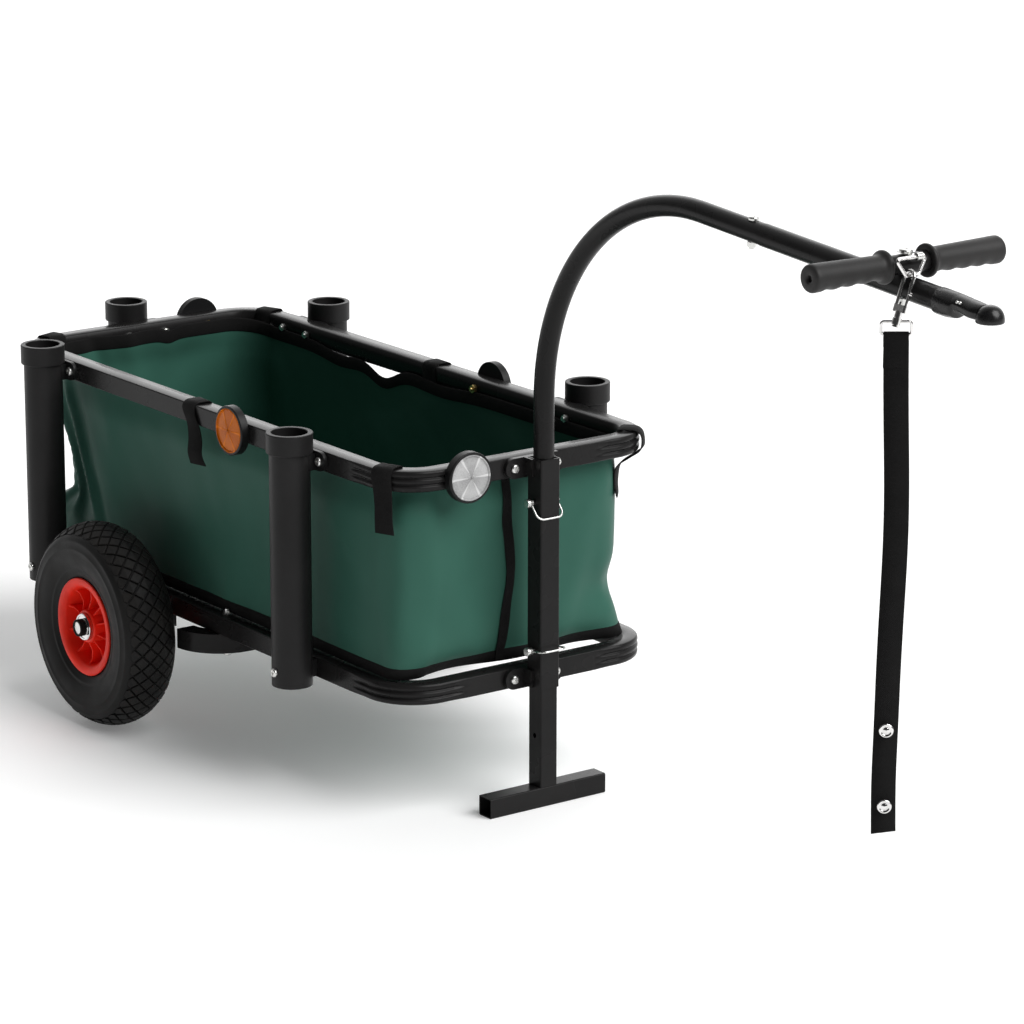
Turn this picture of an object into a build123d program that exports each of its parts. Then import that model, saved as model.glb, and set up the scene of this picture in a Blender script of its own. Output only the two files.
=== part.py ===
"""Beach cart: two bent-tube rings carry a fabric tub, two wheels, rod holders and a front stand,
and a gooseneck drawbar rises from the front column to a T-handle and a hitch cup.

Frame: +X forward (drawbar), +Y to the left, +Z up, floor at z = 0, millimetres.
The origin is on the floor under the centre of the whole cart's outline.
"""
from math import cos, radians, sin
import os

from build123d import *

# ---- rings (rectangular loops of square tube) --------------------------------------------
RING_LENGTH = 900
RING_WIDTH = 390
RING_TUBE = 25
RING_WALL = 2
RING_CORNER = 66
TOP_RING_Z = 408
BOTTOM_RING_Z = 146
GROOVE_DEPTH = 1.2
GROOVE_RADIUS = 2.2
GROOVE_HEIGHTS = (8.5, 16.5)
JOINER_LENGTH = 70

# ---- rod holders -------------------------------------------------------------------------
PIPE_OFFSET = 28.6
PIPE_RADIUS = 25
PIPE_BORE = 22
PIPE_Z = (140, 455)
COLLAR_RADIUS = 28.5
COLLAR_HEIGHT = 25
EAR_SPACING = 28
EAR_ROUND = 12
EAR_THICKNESS = 5
CRADLE_DEPTH = 16

# ---- drawbar ------------------------------------------------------------------------------
COLUMN_OFFSET = 22
MAST_RADIUS = 12.5
MAST_WALL = 2
MAST_FOOT_Z = 345
BEND_START_Z = 504
BEND_RADIUS = 273
DRAWBAR_SLOPE = 4.2
DRAWBAR_RADIUS = 13
SPIGOT_LENGTH = 40
SEAM_RUN = 110
HANDLE_RUN = 341
SLEEVE_RUN = (398, 432)
NOSE_REACH = 791
NOSE_RADIUS = 15.5
NOSE_BASE_Z = 736
CUP_BORE = 11

# ---- place of the rings so that the whole outline is centred on the origin ----------------
RING_FRONT = (RING_LENGTH + PIPE_OFFSET + COLLAR_RADIUS - NOSE_REACH - NOSE_RADIUS) / 2
RING_X = RING_FRONT - RING_LENGTH / 2
SIDE_Y = RING_WIDTH / 2
TOP_MID_Z = TOP_RING_Z + RING_TUBE / 2
BOTTOM_MID_Z = BOTTOM_RING_Z + RING_TUBE / 2
COLUMN_X = RING_FRONT + COLUMN_OFFSET

# ---- column, stand leg and lock pins ------------------------------------------------------
SLEEVE_SIZE = 28
SLEEVE_BORE = 25.2
SLEEVE_Z = (149.5, 433.5)
LEG_SIZE = 25
LEG_WALL = 1.5
LEG_TOP_Z = 255
FOOT_LENGTH = 172
BRACKET_EAR = 6
BRACKET_PAD = 8
BRACKET_BOLT_Y = 31
CHEEK_THICKNESS = 3.5
PIN_RADIUS = 3.1
UPPER_PIN_Z = 380
LOWER_PIN_Z = 196
SPARE_HOLE_Z = 89
PIN_REACH = 21
BOW_WIRE = 1.2
BOW_REACH = 24
BOW_Y = 19
UPPER_BOW_DROOP = 49.5
LOWER_BOW_DROOP = -8

# ---- wheels and axle ----------------------------------------------------------------------
WHEEL_RADIUS = 132
WHEEL_X = RING_FRONT - 567
WHEEL_Y = 261
TYRE_HALF = 38
RIM_RADIUS = 65
RIM_HALF = 31
SPOKES = 10
AXLE_RADIUS = 8
BEARING_RADIUS = 17.4
BEARING_WIDTH = 10

# ---- guard bar in front of the wheels -----------------------------------------------------
GUARD_HALF = 223.5
GUARD_FRONT = RING_FRONT - 385
GUARD_Z = BOTTOM_RING_Z - RING_TUBE
GUARD_BOLT_Y = 182.5

# ---- reflectors ---------------------------------------------------------------------------
REFLECTOR_RADIUS = 31
REFLECTOR_DEPTH = 11
LENS_RADIUS = 28
LENS_DEPTH = 4.5

# ---- bag (fabric tub) ---------------------------------------------------------------------
BAG_INSET = 20
BAG_HALF_WIDTH = 176
BAG_Z = (173, 404)
BAG_CORNER = 52
BAG_WALL = 3
TIE_THICKNESS = 1.5
TIE_GAP = 0.3
TIE_WIDTH = 30
CORNER_TIE_ANGLE = 28
TIE_DROP = 62
BAND_Y = -28
BAND_WIDTH = 14

# ---- handle, ring, snap hook and strap ----------------------------------------------------
HANDLE_RADIUS = 11
HANDLE_RISE = DRAWBAR_RADIUS + HANDLE_RADIUS
GRIP_Y = (28, 132)
GRIP_RADIUS = 15.4
FLANGE_RADIUS = 18.5
HANGER_THICKNESS = 1.8
HANGER_WIDTH = 8.4
EYE_FORWARD = 21.5
EYE_RISE = 13.5
WIRE = 2
WIRE_FIT = 0.08
RING_HALF = 20.8
RING_DROP = 19
RING_TILT = 8
RING_SHIFT = -11.5
HOOK_Y = -15.4
HOOK_SAG = 1.4
HOOK_LEAN = 20
HOOK_WIRE = 2.2
HOOK_BEND = 7
HOOK_NOSE = 12
YOKE_Z = (-38, -30)
SWIVEL_Z = (-51.6, -44.4)
GATE_WIRE = 1.6
GATE_Z = (-36, -12.3)
GATE_KNOB_Z = -17
LOOP_HALF = 16
LOOP_DROP = 14
LOOP_WIRE = 1.7
STRAP_HEADING = 54
STRAP_WIDTH = 27
STRAP_THICKNESS = 1.8
STRAP_FOLD = 35
STRAP_END_Z = 154
STUD_HEIGHTS = (273, 187)

BOLT_CLEARANCE = 0.1


def block(x_range, y_range, z_range):
    size = [high - low for low, high in (x_range, y_range, z_range)]
    middle = [(high + low) / 2 for low, high in (x_range, y_range, z_range)]
    return Pos(*middle) * Box(*size)


def cylinder(start, direction, radius, length):
    return Solid.make_cylinder(radius, length, Plane(origin=start, z_dir=direction))


def tube(start, direction, radius, bore, length):
    return cylinder(start, direction, radius, length) - cylinder(start, direction, bore, length)


def nut(start, direction, radius, height=5, across=5):
    plane = Plane(origin=start, z_dir=direction)
    body = extrude(plane * RegularPolygon(across, 6), height)
    return body - cylinder(start, direction, radius + 0.05, height)


def screw(head_seat, direction, radius, length, head_radius=5.5, head_height=3.5):
    """A pan-head cross-recess screw whose head sits at head_seat and points along direction."""
    seat = Vector(*head_seat)
    out = Vector(*direction)
    head = cylinder(seat, out, head_radius, head_height)
    head = fillet(head.edges().sort_by(lambda e: (e.center() - seat).dot(out))[-1], head_height * 0.6)
    shank = cylinder(seat - out * length, out, radius, length)
    plane = Plane(origin=seat + out * head_height, z_dir=out)
    recess = extrude(plane * (Rectangle(6, 1.2) + Rectangle(1.2, 6)), -1.2)
    return head + shank - recess


def circles(shape, smallest):
    """Circular edges of at least the given radius."""
    return [e for e in shape.edges().filter_by(GeomType.CIRCLE) if e.radius > smallest]


def save(shape, name):
    export_step(shape, f"parts/{name}.step")


def group(solids):
    return Compound(children=[solid for item in solids for solid in item.solids()])


# ---- stations on the rings ----------------------------------------------------------------
def on_ring(x, y, outward):
    """Local frame on a ring's outer face: local +X points outward and local Z is world Z."""
    return Pos(x, y, 0) * Rot(0, 0, outward)


HOLDERS = {
    "near_front": on_ring(RING_FRONT - 187, -SIDE_Y, -90),
    "near_rear": on_ring(RING_FRONT - 769, -SIDE_Y, -90),
    "far_front": on_ring(RING_FRONT - 187, SIDE_Y, 90),
    "far_rear": on_ring(RING_FRONT - 769, SIDE_Y, 90),
    "rear": on_ring(RING_FRONT - RING_LENGTH, 0, 180),
}
REFLECTORS = {
    "near": on_ring(RING_FRONT - 351, -SIDE_Y, -90),
    "far": on_ring(RING_FRONT - 354, SIDE_Y, 90),
    "front": on_ring(RING_FRONT, -98, 0),
    "rear": on_ring(RING_FRONT - RING_LENGTH, 98, 180),
}
COLUMN_STATION = on_ring(RING_FRONT, 0, 0)
AXLE_STATIONS = (on_ring(WHEEL_X, -SIDE_Y, -90), on_ring(WHEEL_X, SIDE_Y, 90))


def across_ring(radius, y, z):
    """A cutter that drills through a ring's tube at local y and height z."""
    return cylinder((10, y, z), (-1, 0, 0), radius + BOLT_CLEARANCE, RING_TUBE + 20)


def ring_drillings():
    cuts = []
    for station in HOLDERS.values():
        cuts += [station * across_ring(3, side * EAR_SPACING, TOP_MID_Z) for side in (-1, 1)]
        cuts.append(station * across_ring(3, 0, BOTTOM_MID_Z))
    for station in REFLECTORS.values():
        cuts.append(station * across_ring(2.5, 0, TOP_MID_Z))
    for z in (TOP_MID_Z, BOTTOM_MID_Z):
        for side in (-1, 1):
            cuts.append(COLUMN_STATION * across_ring(3, side * BRACKET_BOLT_Y, z))
    for station in AXLE_STATIONS:
        cuts += [station * across_ring(3, side * 14, BOTTOM_MID_Z) for side in (-1, 1)]
    for side in (-1, 1):
        foot = (GUARD_FRONT - RING_TUBE / 2, side * GUARD_BOLT_Y, GUARD_Z)
        cuts.append(cylinder(foot, (0, 0, 1), 3 + BOLT_CLEARANCE, BOTTOM_RING_Z + RING_TUBE + 5 - GUARD_Z))
    return cuts


def ring_section(inset):
    outer = RectangleRounded(RING_LENGTH - 2 * inset, RING_WIDTH - 2 * inset, RING_CORNER - inset)
    depth = RING_TUBE - inset
    inner = RectangleRounded(RING_LENGTH - 2 * depth, RING_WIDTH - 2 * depth, RING_CORNER - depth)
    return outer - inner


def corner_centres():
    inset = RING_CORNER
    for x in (RING_FRONT - inset, RING_FRONT - RING_LENGTH + inset):
        for y in (-SIDE_Y + inset, SIDE_Y - inset):
            yield x, y


def corner_grooves(z):
    """Two pressed grooves run round the outside of every bent corner."""
    cuts = []
    for x, y in corner_centres():
        forward = 1 if x > RING_X else -1
        leftward = 1 if y > 0 else -1
        quarter = block(sorted((x, x + forward * 90)), sorted((y, y + leftward * 90)), (z, z + RING_TUBE))
        for height in GROOVE_HEIGHTS:
            ring = Torus(RING_CORNER - GROOVE_DEPTH + GROOVE_RADIUS, GROOVE_RADIUS)
            cuts.append((Pos(x, y, z + height) * ring) & quarter)
    return cuts


def ring(z, drillings):
    body = extrude(ring_section(0), RING_TUBE)
    body -= Pos(0, 0, RING_WALL) * extrude(ring_section(RING_WALL), RING_TUBE - 2 * RING_WALL)
    body = Pos(RING_X, 0, z) * body
    for cut in corner_grooves(z) + drillings:
        body -= cut
    return body


def make_rings():
    drillings = ring_drillings()
    reach = RING_LENGTH
    halves = {
        "front": block((RING_X, RING_X + reach), (-reach, reach), (0, reach)),
        "rear": block((RING_X - reach, RING_X), (-reach, reach), (0, reach)),
    }
    for level, z in (("top", TOP_RING_Z), ("bottom", BOTTOM_RING_Z)):
        body = ring(z, drillings)
        for end, half in halves.items():
            save(body & half, f"{level}_ring_{end}")
    size = RING_TUBE - 2 * RING_WALL - 0.2
    joiners = [Pos(RING_X, side * (SIDE_Y - RING_TUBE / 2), z) * Box(JOINER_LENGTH, size, size)
               for side in (-1, 1) for z in (TOP_MID_Z, BOTTOM_MID_Z)]
    save(group(joiners), "ring_joiners")


# ---- rod holders --------------------------------------------------------------------------
def pipe():
    low, high = PIPE_Z
    centre = (PIPE_OFFSET, 0)
    body = cylinder((*centre, low), (0, 0, 1), PIPE_RADIUS, high - low)
    collar = cylinder((*centre, high - COLLAR_HEIGHT), (0, 0, 1), COLLAR_RADIUS, COLLAR_HEIGHT)
    collar = fillet(collar.edges().filter_by(GeomType.CIRCLE), 1.2)
    body += collar
    body -= cylinder((*centre, low), (0, 0, 1), PIPE_BORE, high - low)
    rim = body.edges().filter_by(GeomType.CIRCLE).sort_by(Axis.Z)[-1]
    body = fillet(rim, 1)
    return body - across_pipe(3)


def across_pipe(radius):
    return cylinder((PIPE_OFFSET + 30, 0, BOTTOM_MID_Z), (-1, 0, 0), radius + BOLT_CLEARANCE, 60)


def clip():
    """Round-ended ear plate with a cradle for the pipe, and a small saddle at the lower ring."""
    half = EAR_SPACING + EAR_ROUND
    plate = Plane.YZ * SlotOverall(2 * half, 2 * EAR_ROUND)
    ears = Pos(0, 0, TOP_MID_Z) * extrude(plate, EAR_THICKNESS)
    cradle = block((0, CRADLE_DEPTH), (-20, 20), (TOP_MID_Z - EAR_ROUND, TOP_MID_Z + EAR_ROUND - 3.5))
    lower = block((0, 7), (-12, 12), (BOTTOM_RING_Z + 2, BOTTOM_RING_Z + RING_TUBE - 2))
    pipe_space = cylinder((PIPE_OFFSET, 0, 0), (0, 0, 1), PIPE_RADIUS + 0.05, 500)
    collar_space = cylinder((PIPE_OFFSET, 0, PIPE_Z[1] - COLLAR_HEIGHT), (0, 0, 1), COLLAR_RADIUS + 0.05, 50)
    upper = ears + cradle - pipe_space - collar_space
    for side in (-1, 1):
        upper -= across_ring(3, side * EAR_SPACING, TOP_MID_Z)
    return [upper, lower - pipe_space - across_pipe(3)]


def holder_fasteners():
    inner = -RING_TUBE
    items = []
    for side in (-1, 1):
        seat = (EAR_THICKNESS, side * EAR_SPACING, TOP_MID_Z)
        items.append(screw(seat, (1, 0, 0), 3, EAR_THICKNESS + RING_TUBE + 7))
        items.append(nut((inner, side * EAR_SPACING, TOP_MID_Z), (-1, 0, 0), 3))
    head_x = PIPE_OFFSET + PIPE_RADIUS
    items.append(screw((head_x, 0, BOTTOM_MID_Z), (1, 0, 0), 3, head_x + RING_TUBE + 7))
    items.append(nut((inner, 0, BOTTOM_MID_Z), (-1, 0, 0), 3))
    return items


def make_holders():
    clips = []
    fasteners = []
    for name, station in HOLDERS.items():
        save(station * pipe(), f"rod_pipe_{name}")
        clips += [station * piece for piece in clip()]
        fasteners += [station * piece for piece in holder_fasteners()]
    save(group(clips), "rod_clips")
    save(group(fasteners), "rod_bolts")


# ---- reflectors ---------------------------------------------------------------------------
def make_reflectors():
    housings = []
    bolts = []
    for name, station in REFLECTORS.items():
        centre = (0, 0, TOP_MID_Z)
        housing = cylinder(centre, (1, 0, 0), REFLECTOR_RADIUS, REFLECTOR_DEPTH)
        housing = fillet(housing.edges().filter_by(GeomType.CIRCLE).sort_by(Axis.X)[-1], 1.5)
        front = (REFLECTOR_DEPTH - LENS_DEPTH, 0, TOP_MID_Z)
        housing -= cylinder(front, (1, 0, 0), LENS_RADIUS + 0.05, LENS_DEPTH)
        housing -= cylinder(centre, (1, 0, 0), 2.6, 4)
        lens = cylinder(front, (1, 0, 0), LENS_RADIUS, LENS_DEPTH + 1)
        lens = fillet(lens.edges().filter_by(GeomType.CIRCLE).sort_by(Axis.X)[-1], 1)
        bolts.append(station * cylinder((4, 0, TOP_MID_Z), (-1, 0, 0), 2.5, RING_TUBE + 12))
        bolts.append(station * nut((-RING_TUBE, 0, TOP_MID_Z), (-1, 0, 0), 2.5, 5, 5.5))
        housings.append(station * housing)
        save(station * lens, f"reflector_lens_{name}")
    save(group(housings), "reflector_housings")
    save(group(bolts), "reflector_bolts")


# ---- column -------------------------------------------------------------------------------
def square_tube(size, bore, z_range, corner):
    outer = extrude(RectangleRounded(size, size, corner), z_range[1] - z_range[0])
    inner = extrude(RectangleRounded(bore, bore, corner * 0.5), z_range[1] - z_range[0])
    return Pos(COLUMN_X, 0, z_range[0]) * (outer - inner)


def pin_hole(z, radius=PIN_RADIUS):
    return cylinder((COLUMN_X, -40, z), (0, 1, 0), radius + BOLT_CLEARANCE, 80)


def bracket(mid_z):
    """Ear plate against the ring, with a pad and two cheeks that hold the column."""
    half = BRACKET_BOLT_Y + RING_TUBE / 2
    plate = extrude(Plane.YZ * SlotOverall(2 * half, RING_TUBE), BRACKET_EAR)
    body = Pos(0, 0, mid_z) * plate
    z_range = (mid_z - RING_TUBE / 2 + 4, mid_z + RING_TUBE / 2)
    edge = SLEEVE_SIZE / 2
    body += block((0, BRACKET_PAD), (-edge, edge), z_range)
    for side in (-1, 1):
        cheek = sorted((side * edge, side * (edge + CHEEK_THICKNESS)))
        body += block((0, COLUMN_OFFSET), cheek, z_range)
        body -= across_ring(3, side * BRACKET_BOLT_Y, mid_z)
    return COLUMN_STATION * body - pin_hole(UPPER_PIN_Z) - pin_hole(LOWER_PIN_Z)


def make_column():
    sleeve = square_tube(SLEEVE_SIZE, SLEEVE_BORE, SLEEVE_Z, 2)
    for z in (UPPER_PIN_Z, LOWER_PIN_Z):
        sleeve -= pin_hole(z)
    save(sleeve, "column_sleeve")
    save(group([bracket(TOP_MID_Z), bracket(BOTTOM_MID_Z)]), "column_brackets")
    bolts = []
    for z in (TOP_MID_Z, BOTTOM_MID_Z):
        for side in (-1, 1):
            seat = (BRACKET_EAR, side * BRACKET_BOLT_Y, z)
            bolts.append(COLUMN_STATION * screw(seat, (1, 0, 0), 3, BRACKET_EAR + RING_TUBE + 7))
            bolts.append(COLUMN_STATION * nut((-RING_TUBE, side * BRACKET_BOLT_Y, z), (-1, 0, 0), 3))
    save(group(bolts), "column_bolts")


def make_stand():
    leg = square_tube(LEG_SIZE, LEG_SIZE - 2 * LEG_WALL, (LEG_SIZE, LEG_TOP_Z), 2)
    leg -= pin_hole(LOWER_PIN_Z)
    leg -= pin_hole(SPARE_HOLE_Z)
    save(leg, "stand_leg")
    section = RectangleRounded(LEG_SIZE, LEG_SIZE, 2)
    bore = LEG_SIZE - 2 * LEG_WALL
    section -= RectangleRounded(bore, bore, 1)
    foot = extrude(Plane.XZ * section, FOOT_LENGTH / 2, both=True)
    save(Pos(COLUMN_X, 0, LEG_SIZE / 2) * foot, "stand_foot")


def lock_pin(z):
    """Pin through the column: a head on the right, a groove for the bow's eye on the left."""
    centre = Vector(COLUMN_X, 0, z)
    shank = cylinder(centre - Vector(0, PIN_REACH, 0), (0, 1, 0), PIN_RADIUS, 2 * PIN_REACH + 1)
    shank = chamfer(shank.edges().filter_by(GeomType.CIRCLE).sort_by(Axis.Y)[-1], 0.8)
    head = cylinder(centre - Vector(0, PIN_REACH + 5, 0), (0, 1, 0), 5.2, 5)
    head = fillet(head.edges().filter_by(GeomType.CIRCLE), 1)
    start = centre + Vector(0, BOW_Y - BOW_WIRE - 0.2, 0)
    return shank + head - tube(start, (0, 1, 0), 5, 2.2, 2 * BOW_WIRE + 0.4)


def lock_bow(z, droop):
    """Wire bow from the pin's head round the front of the column to the pin's groove."""
    start = Vector(4, -BOW_Y, 0)
    points = [start, (BOW_REACH, -BOW_Y, 0), (BOW_REACH, BOW_Y, 0), (4, BOW_Y, 0)]
    path = FilletPolyline(*points, radius=9)
    wire = sweep(Plane(origin=start, z_dir=(1, 0, 0)) * Circle(BOW_WIRE), path=path)
    for side, shaft in ((-1, PIN_RADIUS), (1, 2.2)):
        low = (0, side * BOW_Y - BOW_WIRE, 0)
        wire += cylinder(low, (0, 1, 0), 4.8, 2 * BOW_WIRE)
        wire -= cylinder(low, (0, 1, 0), shaft + WIRE_FIT, 2 * BOW_WIRE)
    return Pos(COLUMN_X, 0, z) * Rot(0, droop, 0) * wire


def make_pins():
    for name, z, droop in (("upper", UPPER_PIN_Z, UPPER_BOW_DROOP), ("lower", LOWER_PIN_Z, LOWER_BOW_DROOP)):
        save(lock_pin(z), f"lock_pin_{name}")
        save(lock_bow(z, droop), f"lock_bow_{name}")


# ---- wheels -------------------------------------------------------------------------------
def tyre_section():
    """C-shaped section in (radius, axial) with the beads between the rim's flanges."""
    bead = 26
    outer = Line((58, bead), (67, bead))
    outer += ThreePointArc((67, bead), (97, TYRE_HALF), (121, 31))
    outer += ThreePointArc((121, 31), (WHEEL_RADIUS, 0), (121, -31))
    outer += ThreePointArc((121, -31), (97, -TYRE_HALF), (67, -bead))
    outer += Line((67, -bead), (58, -bead)) + Line((58, -bead), (58, -bead + 5))
    outer += ThreePointArc((58, -bead + 5), (94, -TYRE_HALF + 5), (116, -26))
    outer += ThreePointArc((116, -26), (WHEEL_RADIUS - 8, 0), (116, 26))
    outer += ThreePointArc((116, 26), (94, TYRE_HALF - 5), (58, bead - 5))
    outer += Line((58, bead - 5), (58, bead))
    return make_face(outer)


def rim_section():
    """Barrel with two flanges, a centre web and the hub."""
    flange = 4.5
    edge = RIM_HALF
    barrel = Pos(54.5, 0) * Rectangle(6, 2 * edge)
    section = barrel + Pos(35, 0) * Rectangle(36, 6)
    hub_outer = 21
    hub_middle = (BEARING_RADIUS + hub_outer) / 2 + 0.05
    section += Pos(hub_middle, 0) * Rectangle(hub_outer - BEARING_RADIUS, 2 * edge)
    for side in (-1, 1):
        middle = side * (edge - flange / 2)
        section += Pos((RIM_RADIUS + 51.5) / 2, middle) * Rectangle(RIM_RADIUS - 51.5, flange)
    return section


def wheel_frame(side):
    """Local +Z is the wheel's axis, pointing outward on the given side of the cart."""
    return Plane(origin=(WHEEL_X, side * WHEEL_Y, WHEEL_RADIUS), x_dir=(0, 0, 1), z_dir=(0, side, 0))


def make_wheel(name, side):
    place = wheel_frame(side).location
    tyre = revolve(Plane.XZ * tyre_section(), Axis.Z)
    save(place * tyre, f"tyre_{name}")
    rim = revolve(Plane.XZ * rim_section(), Axis.Z)
    rim = fillet(circles(rim, RIM_RADIUS - 0.1), 1)
    spoke = block((BEARING_RADIUS + 2.5, 52), (-1.5, 1.5), (-RIM_HALF + 5, RIM_HALF - 5))
    for index in range(SPOKES):
        rim += Rot(0, 0, 360 / SPOKES * (index + 0.5)) * spoke
    rim -= block((38, 49), (-6, 6), (-5, 5))
    save(place * rim, f"rim_{name}")
    bearings = []
    for end in (-1, 1):
        low = end * (RIM_HALF - BEARING_WIDTH / 2 + 0.6) - BEARING_WIDTH / 2
        race = tube((0, 0, low), (0, 0, 1), BEARING_RADIUS, AXLE_RADIUS + 0.05, BEARING_WIDTH)
        race = chamfer(circles(race, BEARING_RADIUS - 0.1), 0.8)
        for face_z, way in ((low, 1), (low + BEARING_WIDTH, -1)):
            race -= tube((0, 0, face_z), (0, 0, way), BEARING_RADIUS - 2.5, AXLE_RADIUS + 3, 1)
        bearings.append(place * race)
    save(group(bearings), f"bearings_{name}")


def make_axle():
    cap_start = WHEEL_Y + RIM_HALF + 0.9
    end = cap_start + 7
    save(cylinder((WHEEL_X, -end, WHEEL_RADIUS), (0, 1, 0), AXLE_RADIUS, 2 * end), "axle")
    caps = []
    spacers = []
    brackets = []
    for side, station in zip((-1, 1), AXLE_STATIONS):
        outward = (0, side, 0)
        cap = tube((WHEEL_X, side * cap_start, WHEEL_RADIUS), outward, 11, AXLE_RADIUS + 0.05, 8)
        caps.append(fillet(circles(cap, 10), 1))
        inner = SIDE_Y + 1
        length = WHEEL_Y - RIM_HALF - 0.9 - inner
        spacers.append(tube((WHEEL_X, side * inner, WHEEL_RADIUS), outward, 12, AXLE_RADIUS + 0.05, length))
        brackets.append(station * axle_bracket())
    save(group(caps), "axle_caps")
    save(group(spacers), "axle_spacers")
    save(group(brackets), "axle_brackets")


def axle_bracket():
    """Block under the lower ring with the axle's bore, and an ear inside the ring."""
    low = WHEEL_RADIUS - 15
    body = block((-RING_TUBE, 0), (-22, 22), (low, BOTTOM_RING_Z))
    body += block((-RING_TUBE - 4, -RING_TUBE), (-22, 22), (low, BOTTOM_RING_Z + RING_TUBE - 2))
    body -= cylinder((5, 0, WHEEL_RADIUS), (-1, 0, 0), AXLE_RADIUS + 0.05, RING_TUBE + 20)
    for side in (-1, 1):
        body -= across_ring(3, side * 14, BOTTOM_MID_Z)
    return body


def loop_section(depth, length, width, corner):
    """Rectangular loop section at the given depth inside a bent tube's outer face."""
    return RectangleRounded(length - 2 * depth, width - 2 * depth, corner - depth)


def make_guard():
    """U-bent bar across the cart under the lower ring, its cut ends in front of the wheels."""
    length = 4 * RING_CORNER
    half = GUARD_HALF

    def band(outer_depth, inner_depth):
        outer = loop_section(outer_depth, length, 2 * half, RING_CORNER)
        return outer - loop_section(inner_depth, length, 2 * half, RING_CORNER)

    bar = extrude(band(0, RING_TUBE), RING_TUBE)
    bar -= Pos(0, 0, RING_WALL) * extrude(band(RING_WALL, RING_TUBE - RING_WALL), RING_TUBE - 2 * RING_WALL)
    bar &= block((RING_CORNER, length), (-half - 1, half + 1), (0, RING_TUBE))
    bar = Pos(GUARD_FRONT - length / 2, 0, GUARD_Z) * bar
    bolts = []
    top = BOTTOM_RING_Z + RING_TUBE
    for side in (-1, 1):
        axis_point = (GUARD_FRONT - RING_TUBE / 2, side * GUARD_BOLT_Y)
        bar -= cylinder((*axis_point, GUARD_Z - 1), (0, 0, 1), 3 + BOLT_CLEARANCE, RING_TUBE + 2)
        bolts.append(screw((*axis_point, GUARD_Z), (0, 0, -1), 3, top - GUARD_Z + 7))
        bolts.append(nut((*axis_point, top), (0, 0, 1), 3))
    save(bar, "guard_bar")
    save(group(bolts), "guard_bolts")


# ---- bag, ties and band -------------------------------------------------------------------
def make_bag():
    length = RING_LENGTH - 2 * BAG_INSET
    low, high = BAG_Z
    outer = extrude(RectangleRounded(length, 2 * BAG_HALF_WIDTH, BAG_CORNER), high - low)
    wall = BAG_WALL
    space = RectangleRounded(length - 2 * wall, 2 * (BAG_HALF_WIDTH - wall), BAG_CORNER - wall)
    outer -= Pos(0, 0, wall) * extrude(space, high - low)
    save(Pos(RING_X, 0, low) * outer, "bag")
    front = RING_FRONT - BAG_INSET + TIE_GAP
    y_range = (BAND_Y - BAND_WIDTH / 2, BAND_Y + BAND_WIDTH / 2)
    save(block((front, front + TIE_THICKNESS), y_range, (BAG_Z[0] + 1, BAG_Z[1] + 1)), "bag_band")


def side_tie():
    """Flat loop round the upper ring's tube with a tail that hangs outside."""
    gap = TIE_GAP
    reach = gap + TIE_THICKNESS
    half = TIE_WIDTH / 2
    top = TOP_RING_Z + RING_TUBE
    loop = block((-RING_TUBE - reach, reach), (-half, half), (TOP_RING_Z - reach, top + reach))
    loop -= block((-RING_TUBE - gap, gap), (-half, half), (TOP_RING_Z - gap, top + gap))
    return loop + block((gap, reach), (-half, half), (TOP_RING_Z - TIE_DROP, TOP_RING_Z))


def corner_tie(centre, angle):
    """The same loop on a bent corner, turned about the corner's centre."""
    gap = TIE_GAP
    reach = gap + TIE_THICKNESS
    inner = RING_CORNER - RING_TUBE
    top = TOP_RING_Z + RING_TUBE

    def frame(low_r, high_r, low_z, high_z):
        face = Pos((low_r + high_r) / 2, (low_z + high_z) / 2) * Rectangle(high_r - low_r, high_z - low_z)
        return Plane.XZ * face

    section = frame(inner - reach, RING_CORNER + reach, TOP_RING_Z - reach, top + reach)
    section -= frame(inner - gap, RING_CORNER + gap, TOP_RING_Z - gap, top + gap)
    tail = frame(RING_CORNER + gap, RING_CORNER + reach, TOP_RING_Z - TIE_DROP, TOP_RING_Z)
    body = revolve(section + tail, Axis.Z, CORNER_TIE_ANGLE)
    return Pos(*centre, 0) * Rot(0, 0, angle - CORNER_TIE_ANGLE / 2) * body


def make_ties():
    front_near, front_far, rear_near, rear_far = corner_centres()
    ties = [
        on_ring(RING_FRONT - 445, -SIDE_Y, -90) * side_tie(),
        on_ring(RING_FRONT - 454, SIDE_Y, 90) * side_tie(),
        corner_tie(front_near, -60),
        corner_tie(front_far, 16),
        corner_tie(rear_near, -164),
        corner_tie(rear_far, 120),
    ]
    save(group(ties), "bag_ties")


# ---- mast and drawbar ---------------------------------------------------------------------
BEND_ANGLE = 90 + DRAWBAR_SLOPE
BEND_END_X = COLUMN_X + BEND_RADIUS * (1 - cos(radians(BEND_ANGLE)))
BEND_END_Z = BEND_START_Z + BEND_RADIUS * sin(radians(BEND_ANGLE))
DRAWBAR_FRAME = Pos(BEND_END_X, 0, BEND_END_Z) * Rot(0, DRAWBAR_SLOPE, 0)


def drawbar_point(run, rise=0):
    slope = radians(DRAWBAR_SLOPE)
    x = BEND_END_X + run * cos(slope) + rise * sin(slope)
    z = BEND_END_Z - run * sin(slope) + rise * cos(slope)
    return x, z


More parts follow.
